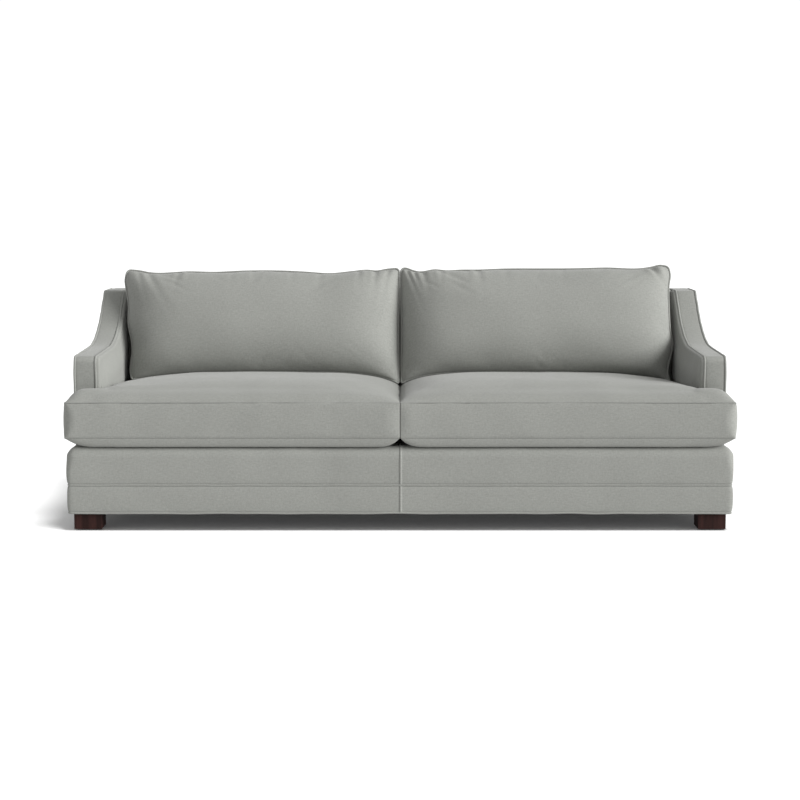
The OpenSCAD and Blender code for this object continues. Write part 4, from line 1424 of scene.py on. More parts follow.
@dataclass
class SeatCushion(Cushion):
    """A boxed seat cushion whose ear wraps in front of the arm."""

    sag: float = 30.5
    box: float = 116.5
    crown: float = 56.0
    loft: float = 6.0
    pressure: float = 1.6
    slack: float = 0.0
    seam_slack: float = 0.002
    cap: float = 9.0
    calm: int = 30
    bulge: float = 4.0
    draw: float = 5.0
    ear_share: float = 0.8
    arm_share: float = 0.3
    arm_reach: float = 120.0
    arm_start: float = 140.0
    arm_end: float = 420.0
    inner_over: float = 20.0
    outer_over: float = 80.0
    inner_power: float = 6.0
    outer_power: float = 2.8
    deep_power: float = 4.0
    ear_powers: tuple[float, float, float] = (6.5, 30.0, 2.0)
    low_powers: tuple[float, float, float] = (20.0, 80.0, 20.0)
    low_ear_powers: tuple[float, float, float, float] = (20.0, 16.0, 13.0, 12.0)
    ear_window: float = 150.0
    end_bulge: float = 6.0
    steep: float = 5.0
    corner_r: float = 9.0
    soft_r: float = 42.0
    inner_r: float = 4.0
    tab: float = 3.0
    step: float = 10.0
    groove: float = 1.3
    thread_r: float = 0.8
    zip_w: float = 24.0
    zip_share: float = 0.62
    zip_sink: float = 4.0

    def __post_init__(self) -> None:
        """Works out the T's outline in the deck's frame."""
        b = BODY
        self.body = f"{self.side.label}_seat_cushion"
        self.top = self.sag + self.box
        self.lean = (self.top + self.crown) * math.sin(b.pitch)
        self.in_x = 0.6
        self.arm_x = b.face_x - self.bulge - self.gap
        self.ear_x = b.side_x + b.ear_nose - self.bulge
        self.front = self.bulge - b.seat_nose
        self.ear_rear = b.ear_d - self.lean - self.bulge - self.gap
        self.rear = b.seat_d - self.bulge - self.gap

    @staticmethod
    def dome(v: Points, low: float, high: float, near: float, far: float) -> Points:
        """A dome from 0 at low over 1 to 0 at high, with its own fullness on each side."""
        t = np.clip((v - low) / (high - low), 0, 1)
        return 1 - np.abs(2 * t - 1) ** np.where(t < 0.5, near, far)

    def across(self, x: Points) -> Points:
        """Share of the crown across the cushion, without its ear.

        Args:
            x: X over the cushion.
        Returns:
            The share at each place.
        """
        middle = (self.in_x + self.arm_x) / 2
        inner = ((middle - x) / (middle - self.in_x + self.inner_over)).clip(0, 1) ** self.inner_power
        outer = ((x - middle) / (self.arm_x - middle + self.outer_over)).clip(0, 1) ** self.outer_power
        return 1 - inner - outer

    def edge_rise(self, d: Points) -> Points:
        """Steep start of the crown at a distance from its seam."""
        return filling(np.maximum(d, 0), self.steep)

    def top_rise(self, x: Points, y: Points) -> Points:
        """Height of the top panel over the T, as a share of the crown.

        Args:
            x: X over the cushion.
            y: Y over the cushion.
        Returns:
            The share at each place.
        """
        ends = np.minimum(x - self.in_x, self.arm_x - x)
        deep = self.dome(y, self.front, self.rear, self.deep_power, self.deep_power)
        main = self.across(x) * deep + self.by_arm(x, y)
        main = main * self.edge_rise(ends) * self.edge_rise(np.minimum(y - self.front, self.rear - y))
        inner, outer, along = self.ear_powers
        ear = self.dome(x, self.in_x, self.ear_x, inner, outer)
        ear = ear * self.dome(y, self.front, self.ear_rear, along, along)
        ear = self.ear_share * np.where(y > self.ear_rear, 0, ear)
        near_arm = smooth((x - self.arm_x + self.ear_window) / self.ear_window)
        return np.maximum(self.blend(main, ear), ear * near_arm)

    def by_arm(self, x: Points, y: Points) -> Points:
        """Share of the crown that stands higher along the front of the arm."""
        along = smooth((y - self.front) / self.arm_start) * (1 - smooth((y - self.ear_rear) / self.arm_end))
        return self.arm_share * along * bell(self.arm_x - x, self.arm_reach)

    def bottom_rise(self, x: Points, y: Points) -> Points:
        """Drop of the bottom panel over the T, as a share of its full drop.

        Args:
            x: X over the cushion.
            y: Y over the cushion.
        Returns:
            The share at each place.
        """
        wide, near, far = self.low_powers
        main = self.dome(x, self.in_x, self.arm_x, wide, wide)
        main = main * self.dome(y, self.front, self.rear, near, far)
        inner, outer, near, far = self.low_ear_powers
        ear = self.dome(x, self.in_x, self.ear_x, inner, outer)
        ear = ear * self.dome(y, self.front, self.ear_rear, near, far)
        return np.maximum(main, np.where(y > self.ear_rear, 0, ear))

    @staticmethod
    def blend(main: Points, ear: Points) -> Points:
        """Crown of the main part and that of the ear as one form."""
        return 1 - (1 - main) * (1 - ear * (1 - main))

    def plan(self, x: Points, y: Points, round_up: float = 0.0) -> tuple[Points, Points]:
        """Plan place of a point, drawn in between the corners and rounded at them.

        Args:
            x: X over the cushion's T.
            y: Y over the cushion's T.
            round_up: Share from 0 to 1 by which the outer front corner is rounded further.
        Returns:
            X and y of the point.
        """
        a = 2 * (x - self.in_x) / (self.ear_x - self.in_x) - 1
        b = 2 * (y - self.front) / (self.rear - self.front) - 1
        px = x - self.draw * (1 - b * b) * np.maximum(a, 0) ** 3
        py = y - self.draw * (1 - a * a) * b ** 3
        outer_r = self.corner_r + (self.soft_r - self.corner_r) * round_up
        for cx, sx, cy, sy, r in ((self.in_x, 1, self.front, 1, self.inner_r),
                                  (self.ear_x, -1, self.front, 1, outer_r),
                                  (self.ear_x, -1, self.ear_rear, -1, self.corner_r),
                                  (self.in_x, 1, self.rear, -1, self.inner_r),
                                  (self.arm_x, -1, self.rear, -1, self.corner_r)):
            u, v = sx * (x - cx), sy * (y - cy)
            du, dv = rounded(u, v, r)
            inside = (u >= -0.01) & (v >= -0.01)
            px = px + sx * np.where(inside, du, 0)
            py = py + sy * np.where(inside, dv, 0)
        return px, py

    def build(self) -> None:
        """Makes every piece."""
        label = self.side.label
        xs = self.ticks(self.in_x, self.ear_x, self.arm_x)
        ys = self.ticks(self.front, self.rear, self.ear_rear)
        gx, gy = np.meshgrid(xs, ys)
        px, py = self.plan(gx, gy)
        keep = (gx[:-1, 1:] <= self.arm_x + 0.01) | (gy[1:, :-1] <= self.ear_rear + 0.01)
        shell = Pattern(f"{label}_seat_cushion_cover")
        share = self.top_rise(gx, gy)
        top = joined(px, py, self.top + self.crown * share)
        drop = np.maximum(self.gap, self.sag * (1 - 1.1 * self.bottom_rise(gx, gy)))
        low = joined(px, py, drop)
        left = self.side is Side.LEFT
        shell.grid(self.placed(top), self.laid(gx, gy, self.crown * share), keep=keep, flip=left)
        shell.grid(self.placed(low), self.laid(gx, gy, self.sag - drop), keep=keep, flip=not left)
        ring, along = self.edge_ring(xs, ys)
        levels = even(14, 0.7)
        rows = []
        for t in levels:
            full = max(1 - (2 * t - 1) ** 2, 0) ** 0.8
            level, _ = self.edge_ring(xs, ys, full)
            out = self.bulge * full * smooth((level[:, :1] - self.in_x) / 25)
            beyond = level[:, :1] > self.arm_x + 20
            out = out + self.end_bulge * full * np.maximum(level[:, 2:3], 0) * beyond
            wall = level[:, :2] + level[:, 2:] * out
            rows.append(joined(*wall.T, self.sag + self.box * t))
        wall = np.array(rows)
        cloth = joined(along[None], (levels * self.box)[:, None])
        shell.grid(self.placed(wall), cloth, flip=left)
        self.add(shell, UPHOLSTERY, f"{label}_seat_cover", fill=0.8, work=self.fill)
        for name, z in (("top", self.top), ("bottom", self.sag)):
            path = joined(*(ring[:, :2] - ring[:, 2:] * 0.5).T, z)
            thread = Pattern(f"{label}_seat_{name}_stitching")
            thread.tube(self.placed(path[:-1]), self.thread_r, (0, 0, 1), 6, True)
            self.add(thread, THREAD, slot="welt")

    def ticks(self, low: float, high: float, bend: float) -> Points:
        """Places over the cushion, close together at its edges and a little closer at the T's bend.

        Args:
            low: First place.
            high: Last place.
            bend: Where the T bends.
        Returns:
            The places.
        """
        even_ones = stations(low, high, self.step, [low, high])
        close = bend + np.array([-5.0, 0.0, 5.0])
        away = np.abs(even_ones[:, None] - close[None]).min(1) > 3
        return np.unique(np.concatenate([even_ones[away], close]))

    def laid(self, x: Points, y: Points, rise: Points) -> Points:
        """Flat place of a panel's points, so that its cloth isn't stretched where the panel is steep.

        Args:
            x: X over the cushion.
            y: Y over the cushion.
            rise: Height of the panel over its seam.
        Returns:
            Flat places.
        """
        ends = np.minimum(x - self.in_x, self.ear_x - x)
        deep = np.minimum(y - self.front, self.rear - y)
        share = (deep / np.maximum(ends + deep, 1e-6)).clip(0, 1)
        u = x + np.where(x > (self.in_x + self.ear_x) / 2, -1, 1) * rise * share
        v = y + np.where(y > (self.front + self.rear) / 2, -1, 1) * rise * (1 - share)
        return joined(u, v)

    def local(self, p: Points) -> Points:
        """Points of the sofa's frame in this cushion's own frame on the deck.

        Args:
            p: Points in the sofa's frame.
        Returns:
            Points in the cushion's frame.
        """
        b = BODY
        c, s = math.cos(b.pitch), math.sin(b.pitch)
        y, z = p[..., 1] - b.front_y, p[..., 2] - b.deck_h
        return joined(p[..., 0] * self.side.value, y * c - z * s, y * s + z * c)

    def seams(self, q: Points) -> Points:
        """Height above the nearer of the two seams, without its sign."""
        return np.minimum(np.abs(q[:, 2] - self.top), np.abs(q[:, 2] - self.sag))

    def held(self, p: Points) -> Points:
        """The seams, the bottom, and the sides that press against something stay where they are.

        Args:
            p: Points of the cover in the sofa's frame.
        Returns:
            The share at each point.
        """
        q = self.local(p)
        sides = (q[:, 0] < self.in_x + 2) | (q[:, 1] > self.rear - 2)
        sides |= (q[:, 0] > self.arm_x - 1) & (q[:, 1] > self.ear_rear - 2)
        walls = sides & (q[:, 2] < self.top + 1)
        return np.where(walls | (q[:, 2] < self.sag + 0.5) | (self.seams(q) < 0.5), 1.0, 0.0)

    def near_seam(self, p: Points) -> Points:
        """More spare fabric close to the top seam."""
        q = self.local(p)
        return np.exp(-np.abs(q[:, 2] - self.top) / 20)

    def work(self, p: Points, out: Points) -> Points:
        """Sinks the seams and lets the cover's fabric run unevenly.

        Args:
            p: Points of the filled cover.
            out: Directions out of it.
        Returns:
            The finished points.
        """
        q = self.local(p)
        d = self.seams(q)
        rest = smooth((q[:, 2] - self.sag) / 20)
        lift = -self.groove * np.exp(-d / 1.6)
        lift += 0.7 * Ripple(51 + self.side.value, 170)(p) * rest
        lift += 0.35 * Ripple(55 + self.side.value, 60)(p) * rest * np.exp(-d / 25)
        inner = (q[:, 0] < self.in_x + 30) | (q[:, 1] > self.ear_rear)
        lift = np.where(inner & (q[:, 2] < self.top + 2), np.minimum(lift, 0), lift)
        return self.tabbed(self.recessed(p + out * lift[:, None]))

    def tabbed(self, p: Points) -> Points:
        """Points with the small tips that the seams make at the ear's front corner.

        Args:
            p: Points of the cover.
        Returns:
            The same with tips.
        """
        q = self.local(p)
        reach = 0.3 * self.corner_r
        for z in (self.top, self.sag):
            d = np.linalg.norm(q - [self.ear_x - reach, self.front + reach, z], axis=1)
            q += self.tab * bell(d, 5)[:, None] * [1, -0.6, 0.2 if z == self.top else -0.2]
        return self.placed(q)

    def recessed(self, p: Points) -> Points:
        """Points with the rear boxing sunk behind the zip.

        Args:
            p: Points of the cover.
        Returns:
            The same with the recess.
        """
        q = self.local(p)
        mid_x, mid_z = (self.in_x + self.arm_x) / 2, self.sag + self.box / 2
        half = self.zip_share * self.arm_x / 2
        pull = smooth((self.zip_w / 2 + 6 - np.abs(q[:, 2] - mid_z)) / 6)
        pull = pull * smooth((half + 12 - np.abs(q[:, 0] - mid_x)) / 12) * (q[:, 1] > self.rear - 30)
        q[:, 1] += pull * np.minimum(self.rear - self.zip_sink - q[:, 1], 0)
        return self.placed(q)

    def edge_ring(self, xs: Points, ys: Points, round_up: float = 0.0) -> tuple[Points, Points]:
        """The cushion's outline with its outward direction, closed, and the distance along it.

        Args:
            xs: Places across.
            ys: Places from front to rear.
            round_up: How far the outer front corner is rounded further.
        Returns:
            Rows of place and outward direction, and the distances.
        """
        ear, arm = ys[ys <= self.ear_rear + 0.01], xs[xs >= self.arm_x - 0.01]
        main = xs[xs <= self.arm_x + 0.01]
        walk = [(x, self.front) for x in xs[:-1]] + [(self.ear_x, y) for y in ear[:-1]]
        walk += [(x, self.ear_rear) for x in arm[::-1][:-1]]
        walk += [(self.arm_x, y) for y in ys[ys >= self.ear_rear - 0.01][:-1]]
        walk += [(x, self.rear) for x in main[::-1][:-1]] + [(self.in_x, y) for y in ys[::-1]]
        walk = np.array(walk)
        px, py = self.plan(walk[:, 0], walk[:, 1], round_up)
        p = joined(px, py)
        way = np.roll(p[:-1], -1, 0) - np.roll(p[:-1], 1, 0)
        way = np.concatenate([way, way[:1]])
        out = joined(way[:, 1], -way[:, 0])
        out /= np.linalg.norm(out, axis=1, keepdims=True)
        return np.concatenate([p, out], 1), lengths(p)

    def placed(self, p: Points) -> Points:
        """Points of the deck's frame on this cushion's side."""
        return BODY.on_deck(p) * [self.side.value, 1, 1]


@dataclass(frozen=True)
class Pucker:
    """A short fold that runs down from a seam.

    x is where it starts, lean how far it wanders per millimetre down, and depth is negative for a hollow.
    """

    x: float
    depth: float = -2.0
    width: float = 9.0
    reach: float = 40.0
    lean: float = 0.0
    start: float = 0.0

    def lift(self, x: Points, down: Points) -> Points:
        """Height of the fold at x and a distance below the seam.

        Args:
            x: X over the cushion.
            down: Distance below the seam.
        Returns:
            The height at each point.
        """
        run = down - self.start
        fade = np.exp(-np.maximum(run, 0) / self.reach) * smooth(run / 12)
        off = x - self.x - self.lean * run
        sides = bell(np.abs(off) - 1.7 * self.width, self.width)
        return 2.2 * self.depth * fade * (bell(off, self.width) - 0.5 * sides)


LEFT_TOP = ((0, 13), (21, 12), (43, 10), (87, 2.5), (120, 5.5), (175, 0), (251, -8), (350, -2), (416, 1.5),
            (570, 2), (679, -3), (767, -1), (920, -4), (960, 4), (986, 6.5))
RIGHT_TOP = ((0, 13), (23, 13.5), (45, 5), (70, -1), (88, 0), (121, 6.5), (176, 3), (220, 5.5), (286, 6),
             (385, 10), (513, 10.5), (637, 11), (750, 14), (900, 13.5), (922, 17.5), (955, 25), (977, 22))
LEFT_SIDE = ((-1, 969), (-0.86, 977), (-0.66, 976), (-0.47, 973), (-0.29, 977), (0, 991), (0.38, 995),
             (0.59, 1003), (0.82, 1011), (1, 1006))
RIGHT_SIDE = ((-1, 978), (-0.84, 970), (-0.72, 973), (-0.56, 982), (-0.35, 992), (-0.1, 986), (0.26, 985),
              (0.66, 989), (0.82, 995), (1, 991))
LEFT_FOLDS = (Pucker(804, -2.6, 8, 34, 0.12), Pucker(783, 1.8, 7, 30), Pucker(613, -1.6, 8),
              Pucker(533, -1.6, 9), Pucker(500, 1.2, 8), Pucker(394, -1.4, 10), Pucker(292, -1.6, 12),
              Pucker(149, -2.2, 9, 34), Pucker(87, -2.6, 9, 46, 0.1), Pucker(40, -2.2, 9, 60, 0.2),
              Pucker(925, -1.8, 13, 70, -0.55), Pucker(958, -1.0, 10, 60, -0.3))
RIGHT_FOLDS = (Pucker(24, -3.0, 8, 60, 0.35), Pucker(48, -2.6, 8, 44, 0.3), Pucker(84, -2.8, 10, 40, 0.15),
               Pucker(150, -2.2, 9, 36), Pucker(286, -2.6, 10, 40, 0.1), Pucker(262, 1.4, 8, 36),
               Pucker(385, -1.2, 12), Pucker(590, -1.0, 12), Pucker(915, -3.4, 11, 60, 0.5),
               Pucker(955, 2.0, 12, 40))


def line(points: Sequence[tuple[float, float]], v: Points) -> Points:
    """Smooth curve through points, at v.

    Args:
        points: Pairs of place and height, in rising order.
        v: Where to read the curve.
    Returns:
        Heights of the curve.
    """
    xs, ys = np.array(points, float).T
    slope = np.gradient(ys, xs)
    k = np.clip(np.searchsorted(xs, v) - 1, 0, len(xs) - 2)
    h = xs[k + 1] - xs[k]
    t = np.clip((v - xs[k]) / h, 0, 1)
    rise = ys[k + 1] - ys[k]
    bend = t * (1 - t) * ((1 - t) * (h * slope[k] - rise) - t * (h * slope[k + 1] - rise))
    return ys[k] + t * rise + bend


@dataclass
class BackCushion(Cushion):
    """A knife-edge back cushion with piping, full in front and flat where it leans and sits."""

    height: float = 386.0
    tilt: float = math.radians(25)
    step_out: float = 145.0
    front_swell: float = 98.0
    rear_swell: float = 150.0
    in_x: float = 4.9
    draw: float = 2.0
    draw_to: float = 0.55
    top_to: float = 977.0
    corner_r: float = 11.0
    round_power: float = 0.65
    wide_power: float = 6.0
    high_power: float = 3.0
    bead: float = 3.0
    corner_drop: float = 46.0
    slump: float = 5.0
    sunk: float = 3.0
    cord_r: float = 3.4
    cord_out: float = 2.6
    trim: float = 7.0
    inward: float = 0.55
    cells: int = 130
    rows: int = 66

    def __post_init__(self) -> None:
        """Takes the side's lines and folds, and finds where the cushion rests."""
        self.body = f"{self.side.label}_back_cushion"
        left = self.side is Side.LEFT
        self.top_line, self.side_line = (LEFT_TOP, LEFT_SIDE) if left else (RIGHT_TOP, RIGHT_SIDE)
        self.folds = LEFT_FOLDS if left else RIGHT_FOLDS
        b = BODY
        self.seat = SeatCushion(side=self.side, crown=SeatCushion.crown + SeatCushion.loft)
        self.rest_y = b.back_y - self.step_out
        span = self.seat.rear - self.seat.front
        t = 2 * (self.rest_y - b.front_y - self.seat.lean - self.seat.front) / span - 1
        self.rest_rise = self.seat.crown * (1 - t ** self.seat.deep_power) / math.cos(b.pitch)
        deck = float(b.deck_z(self.rest_y))
        self.rest_z = deck + self.seat.top / math.cos(b.pitch) + self.rest_rise + self.gap

    def at(self, a: Points, b: Points) -> tuple[Points, Points]:
        """Place (x, height along the slope) of a point of the welted plane.

        Args:
            a: Share across, from -1 to 1.
            b: Share up, from -1 to 1.
        Returns:
            X and height of each point.
        """
        outer = line(self.side_line, b) - self.trim
        half = (outer - self.in_x) / 2
        drawn = self.draw * (1 - b * b) * smooth((self.draw_to - b) / 0.5)
        x = self.in_x + half * (1 + a) + drawn * np.where(a < 0, np.abs(a) ** 3, 0)
        rise = line(self.top_line, x) * smooth((b + 1) / 2) ** 2
        rise = rise - self.slump * smooth(0.5 - b)
        h = self.height / 2 * (1 + b) + rise
        du, dv = rounded(half * (1 - np.abs(a)), self.height / 2 * (1 - np.abs(b)), self.corner_r)
        return x - du * np.sign(a), h - dv * np.sign(b)

    def rest_at(self, x: Points, y: Points) -> Points:
        """Height that the seat cushion's top allows at x and y.

        Args:
            x: X from the middle.
            y: Y in the sofa's frame.
        Returns:
            The heights.
        """
        seat, pitch = self.seat, BODY.pitch
        share = seat.across(x)
        share = share * seat.edge_rise(np.minimum(x - seat.in_x, seat.arm_x - x))
        own_y = (y - BODY.front_y) / math.cos(pitch) - seat.lean
        share = share * seat.dome(own_y, seat.front, seat.rear, seat.deep_power, seat.deep_power)
        return BODY.deck_z(y) + (seat.top + seat.crown * share) / math.cos(pitch) + self.gap

    def place(self, x: Points, h: Points, behind: Points) -> Points:
        """A point at a height along the slope and a distance behind the welt, kept off back and seat.

        Args:
            x: X across the cushion.
            h: Height along its slope.
            behind: Distance behind the welted plane.
        Returns:
            Points in the sofa's frame.
        """
        c, s = math.cos(self.tilt), math.sin(self.tilt)
        y = self.rest_y + h * s + behind * c
        droop = self.rest_rise * (1 - self.seat.across(np.clip(x, self.seat.in_x, self.seat.arm_x)))
        droop = np.minimum(droop, self.corner_drop) * (1 - np.clip(h, 0, self.height) / self.height) ** 1.5
        z = self.rest_z + self.bead + h * c - behind * s - droop
        z = np.maximum(z, self.rest_at(x, y) + np.where(np.abs(behind) < 0.1, self.bead, 0))
        y = np.minimum(y, BODY.lean_y(z, -self.gap))
        return joined(x, y, z) * [self.side.value, 1, 1]

    def local(self, p: Points) -> tuple[Points, Points, Points]:
        """X, height along the slope and distance behind the welted plane of points.

        Args:
            p: Points in the sofa's frame.
        Returns:
            The three parts of each point.
        """
        c, s = math.cos(self.tilt), math.sin(self.tilt)
        y, z = p[:, 1] - self.rest_y, p[:, 2] - self.rest_z - self.bead
        return p[:, 0] * self.side.value, y * s + z * c, y * c - z * s

    def edge_distance(self, p: Points) -> Points:
        """Distance of points from the welted edge in space.

        Args:
            p: Points in the sofa's frame.
        Returns:
            The distance of each point.
        """
        tree = KDTree(len(self.edge))
        for k, q in enumerate(self.edge):
            tree.insert(q, k)
        tree.balance()
        return np.array([tree.find(q)[2] for q in p])

    def held(self, p: Points) -> Points:
        """The welted edge and what leans on the back or sits on the seat stay where they are.

        Args:
            p: Points of the cover in the sofa's frame.
        Returns:
            The share at each point.
        """
        leans = p[:, 1] > BODY.lean_y(p[:, 2], -self.gap) - 0.5
        sits = p[:, 2] < self.rest_at(np.abs(p[:, 0]), p[:, 1]) + 0.8
        return np.where(leans | sits | (self.edge_distance(p) < 0.6), 1.0, 0.0)

    def near_seam(self, p: Points) -> Points:
        """More spare fabric close to the welt."""
        return np.exp(-self.edge_distance(p) / self.seam_reach)

    def work(self, p: Points, out: Points) -> Points:
        """Adds the puckers below the top edge and the loose run of the fabric.

        Args:
            p: Points of the filled cover.
            out: Directions out of it.
        Returns:
            The finished points.
        """
        x, h, behind = self.local(p)
        down = np.maximum(self.height + line(self.top_line, np.clip(x, 0, self.top_to)) - h, 0)
        front = smooth(-behind / 10)
        d = self.edge_distance(p)
        lift = sum(fold.lift(x, down) for fold in self.folds) * smooth(d / 9)
        lift = lift + 1.3 * Ripple(61 + self.side.value, 230)(p) * smooth(d / 60)
        lift = lift + 0.5 * Ripple(65 + self.side.value, 75)(p) * np.exp(-d / 60) * smooth(d / 12)
        sits = smooth((p[:, 2] - self.rest_at(x, p[:, 1]) - 2) / 25)
        sunk = self.sunk * np.exp(-d / 3) * smooth(d)
        return p + out * (lift * front * sits - sunk)[:, None]

    def build(self) -> None:
        """Makes every piece."""
        label = self.side.label
        a, b = 2 * even(self.cells) - 1, 2 * even(self.rows) - 1
        ga, gb = np.meshgrid(a, b)
        x, h = self.at(ga, gb)
        full = (1 - np.abs(ga) ** self.wide_power) * (1 - np.abs(gb) ** self.high_power)
        full = np.maximum(full, 0) ** self.round_power
        front = self.place(x, h, -self.front_swell * full)
        rear = self.place(x, h, self.rear_swell * full)
        cloth = joined(x, h)
        shell = Pattern(f"{label}_back_cushion_cover")
        shell.grid(front, cloth, flip=self.side is Side.LEFT)
        shell.grid(rear, cloth, flip=self.side is Side.RIGHT)
        walk = np.concatenate([joined(a[:-1], -1.0), joined(1.0, b[:-1]),
                               joined(a[::-1][:-1], 1.0), joined(-1.0, b[::-1][:-1])])
        x, h = self.at(walk[:, 0], walk[:, 1])
        self.edge = self.place(x, h, np.zeros(len(x)))
        self.add(shell, UPHOLSTERY, f"{label}_back_cover", fill=0.75, work=self.fill)
        up = np.array([0, math.cos(self.tilt), -math.sin(self.tilt)])
        way = np.roll(self.edge, -1, 0) - np.roll(self.edge, 1, 0)
        off = np.cross(up, way) * self.side.value
        off /= np.linalg.norm(off, axis=1, keepdims=True)
        free = smooth((self.edge[:, 2] - self.rest_z) / 12)[:, None] * [self.inward, 1, 1]
        path = self.edge + self.cord_out * off * free
        cord = Pattern(f"{label}_back_cushion_piping").tube(path, self.cord_r, up, 10, True)
        self.add(cord, PIPING, slot="welt")


LEGS = ("front_left_leg", "front_right_leg", "rear_left_leg", "rear_right_leg")


@dataclass
class Inside(Assembly):
    """What the fabric hides: timber, springs, webbing, felt and foam."""

    spring_count: int = 12
    bends: int = 19
    wire: float = 3.8
    spring_w: float = 50.0
    rail: float = 37.0
    edge_foam: float = 15.0
    clip_w: float = 18.0
    spring_low: float = 24.5
    shy: float = 0.8
    leg_edge: float = 2.5
    core_edge: float = 10.0
    straps: int = 8
    strap_w: float = 60.0
    strap_t: float = 2.0
    strap_in: float = 30.0
    strap_low: float = 1.0
    strap_high: float = 13.0

    def build(self) -> None:
        """Gives the carried-over nodes their finishes, and builds what is soft or round."""
        carry(HARDWOOD, "front_rail", "spring_rail", "rear_rail", "side_rails", "cross_rails",
              "corner_blocks", "back_top_rail", "arm_cores")
        carry(PLYWOOD, "ear_boards", "back_ribs", "arm_panels")
        carry(ESPRESSO, *LEGS)
        carry(STEEL, "arm_bolts", "spring_clips", "leg_bolts")
        carry(GLIDE, "leg_glides")
        for name in LEGS:
            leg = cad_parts[name]
            leg.modifiers.new("weld", "WELD").merge_threshold = 0.01 * MM
            edge = leg.modifiers.new("edge", "BEVEL")
            edge.width, edge.segments, edge.limit_method = self.leg_edge * MM, 3, "ANGLE"
        for node, finish, edge, fill, slot in (
                ("arm_padding", FOAM, 9, 0.9, "foam"), ("front_edge_foam", FOAM, 9, 0.9, "foam"),
                ("deck_pad", FOAM, 3, 0.7, "foam"), ("back_padding", FOAM, 6, 0.7, "foam"),
                ("spring_felt", FELT, 1, 0.3, "felt")):
            self.soft(f"{node}_block", finish, edge, node, fill=fill, slot=slot)
        for side in Side:
            for node, body in (("seat_foam", "seat_cushion"), ("back_fill", "back_cushion")):
                name = f"{side.label}_{node}"
                finish = FOAM if node == "seat_foam" else FIBRE
                self.soft(f"{name}_core", finish, self.core_edge, name, fill=0.8, slot="foam",
                          body=f"{side.label}_{body}")
        self.springs()
        self.webbing()

    def soft(self, name: str, finish: Finish, edge: float, node: str, **where: object) -> None:
        """Builds a soft-edged form of a CAD solid.

        Args:
            name: Name of the new piece.
            finish: Its finish.
            edge: Width in millimetres of its rounded edges.
            node: The CAD node that it stands for.
            where: Slot, body and fill of the piece.
        """
        work = bmesh.new()
        work.from_mesh(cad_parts[node].data)
        bmesh.ops.remove_doubles(work, verts=work.verts, dist=0.05 * MM)
        bmesh.ops.dissolve_limit(work, angle_limit=math.radians(3), verts=work.verts, edges=work.edges)
        sharp = [e for e in work.edges if len(e.link_faces) == 2 and e.calc_face_angle() > math.radians(35)]
        bmesh.ops.bevel(work, geom=sharp, offset=edge * MM, offset_type="OFFSET", segments=3, profile=0.5,
                        affect="EDGES", clamp_overlap=True)
        bmesh.ops.triangulate(work, faces=[f for f in work.faces if len(f.verts) > 4])
        work.normal_update()
        for vert in work.verts:
            vert.co -= vert.normal * self.shy * MM
        mesh = bpy.data.meshes.new(name)
        work.to_mesh(mesh)
        work.free()
        self.own(show(name, mesh, finish), (node,), **where)

    def springs(self) -> None:
        """Builds the sinuous springs as round wire."""
        b = BODY
        low = b.cover_t + self.edge_foam + self.rail / 2
        high = b.seat_d - self.rail / 2
        pitch = (high - low) / self.bends
        half, r = self.spring_w / 2, pitch / 2
        t = np.radians(np.linspace(-80, 80, 9))
        rows = [[(-1.6 * self.clip_w, low), (-0.4 * self.clip_w, low)]]
        for i in range(self.bends):
            s = 1 if i % 2 == 0 else -1
            middle = low + (i + 0.5) * pitch
            rows.append(joined(s * (half - r + r * np.cos(t)), middle + r * np.sin(t)))
        rows.append([(-0.4 * self.clip_w, high), (-1.6 * self.clip_w, high)])
        flat = np.concatenate(rows)
        reach = b.face_x + b.cover_t + 12
        step = 2 * (reach - self.spring_w) / self.spring_count
        pattern = Pattern("sinuous_spring_wires")
        for i in range(self.spring_count):
            x = (i + 0.5) * step - reach + self.spring_w
            path = joined(flat[:, 0] + x, flat[:, 1], -self.spring_low)
            pattern.tube(b.on_deck(path), self.wire / 2, (0, 0, 1), 8)
        self.add(pattern, STEEL, "seat_springs", slot="steel")

    def webbing(self) -> None:
        """Builds the straps behind the inside back."""
        b = BODY
        pattern = Pattern("back_webbing_straps")
        depth = b.cover_t + self.strap_in
        step = 2 * b.face_x / self.straps
        foot, head = b.back_z + self.strap_low, b.back_h - b.cover_t - self.strap_high
        zs = resample(np.array([[foot, 0], [head, 0]]), 25)[:, 0]
        for i in range(self.straps):
            x = (i + 0.5) * step - b.face_x
            xs = x + self.strap_w / 2 * np.array([-1, -0.98, -0.5, 0, 0.5, 0.98, 1])
            inset = self.strap_t * np.array([0.5, 0.1, 0, 0, 0, 0.1, 0.5])
            for rear in (False, True):
                off = depth - inset if rear else depth - self.strap_t + inset
                y = b.lean_y(zs[:, None], off[None])
                p = joined(xs[None], y, zs[:, None])
                pattern.grid(p, flip=rear)
        self.add(pattern, WEBBING, "back_webbing", slot="webbing")


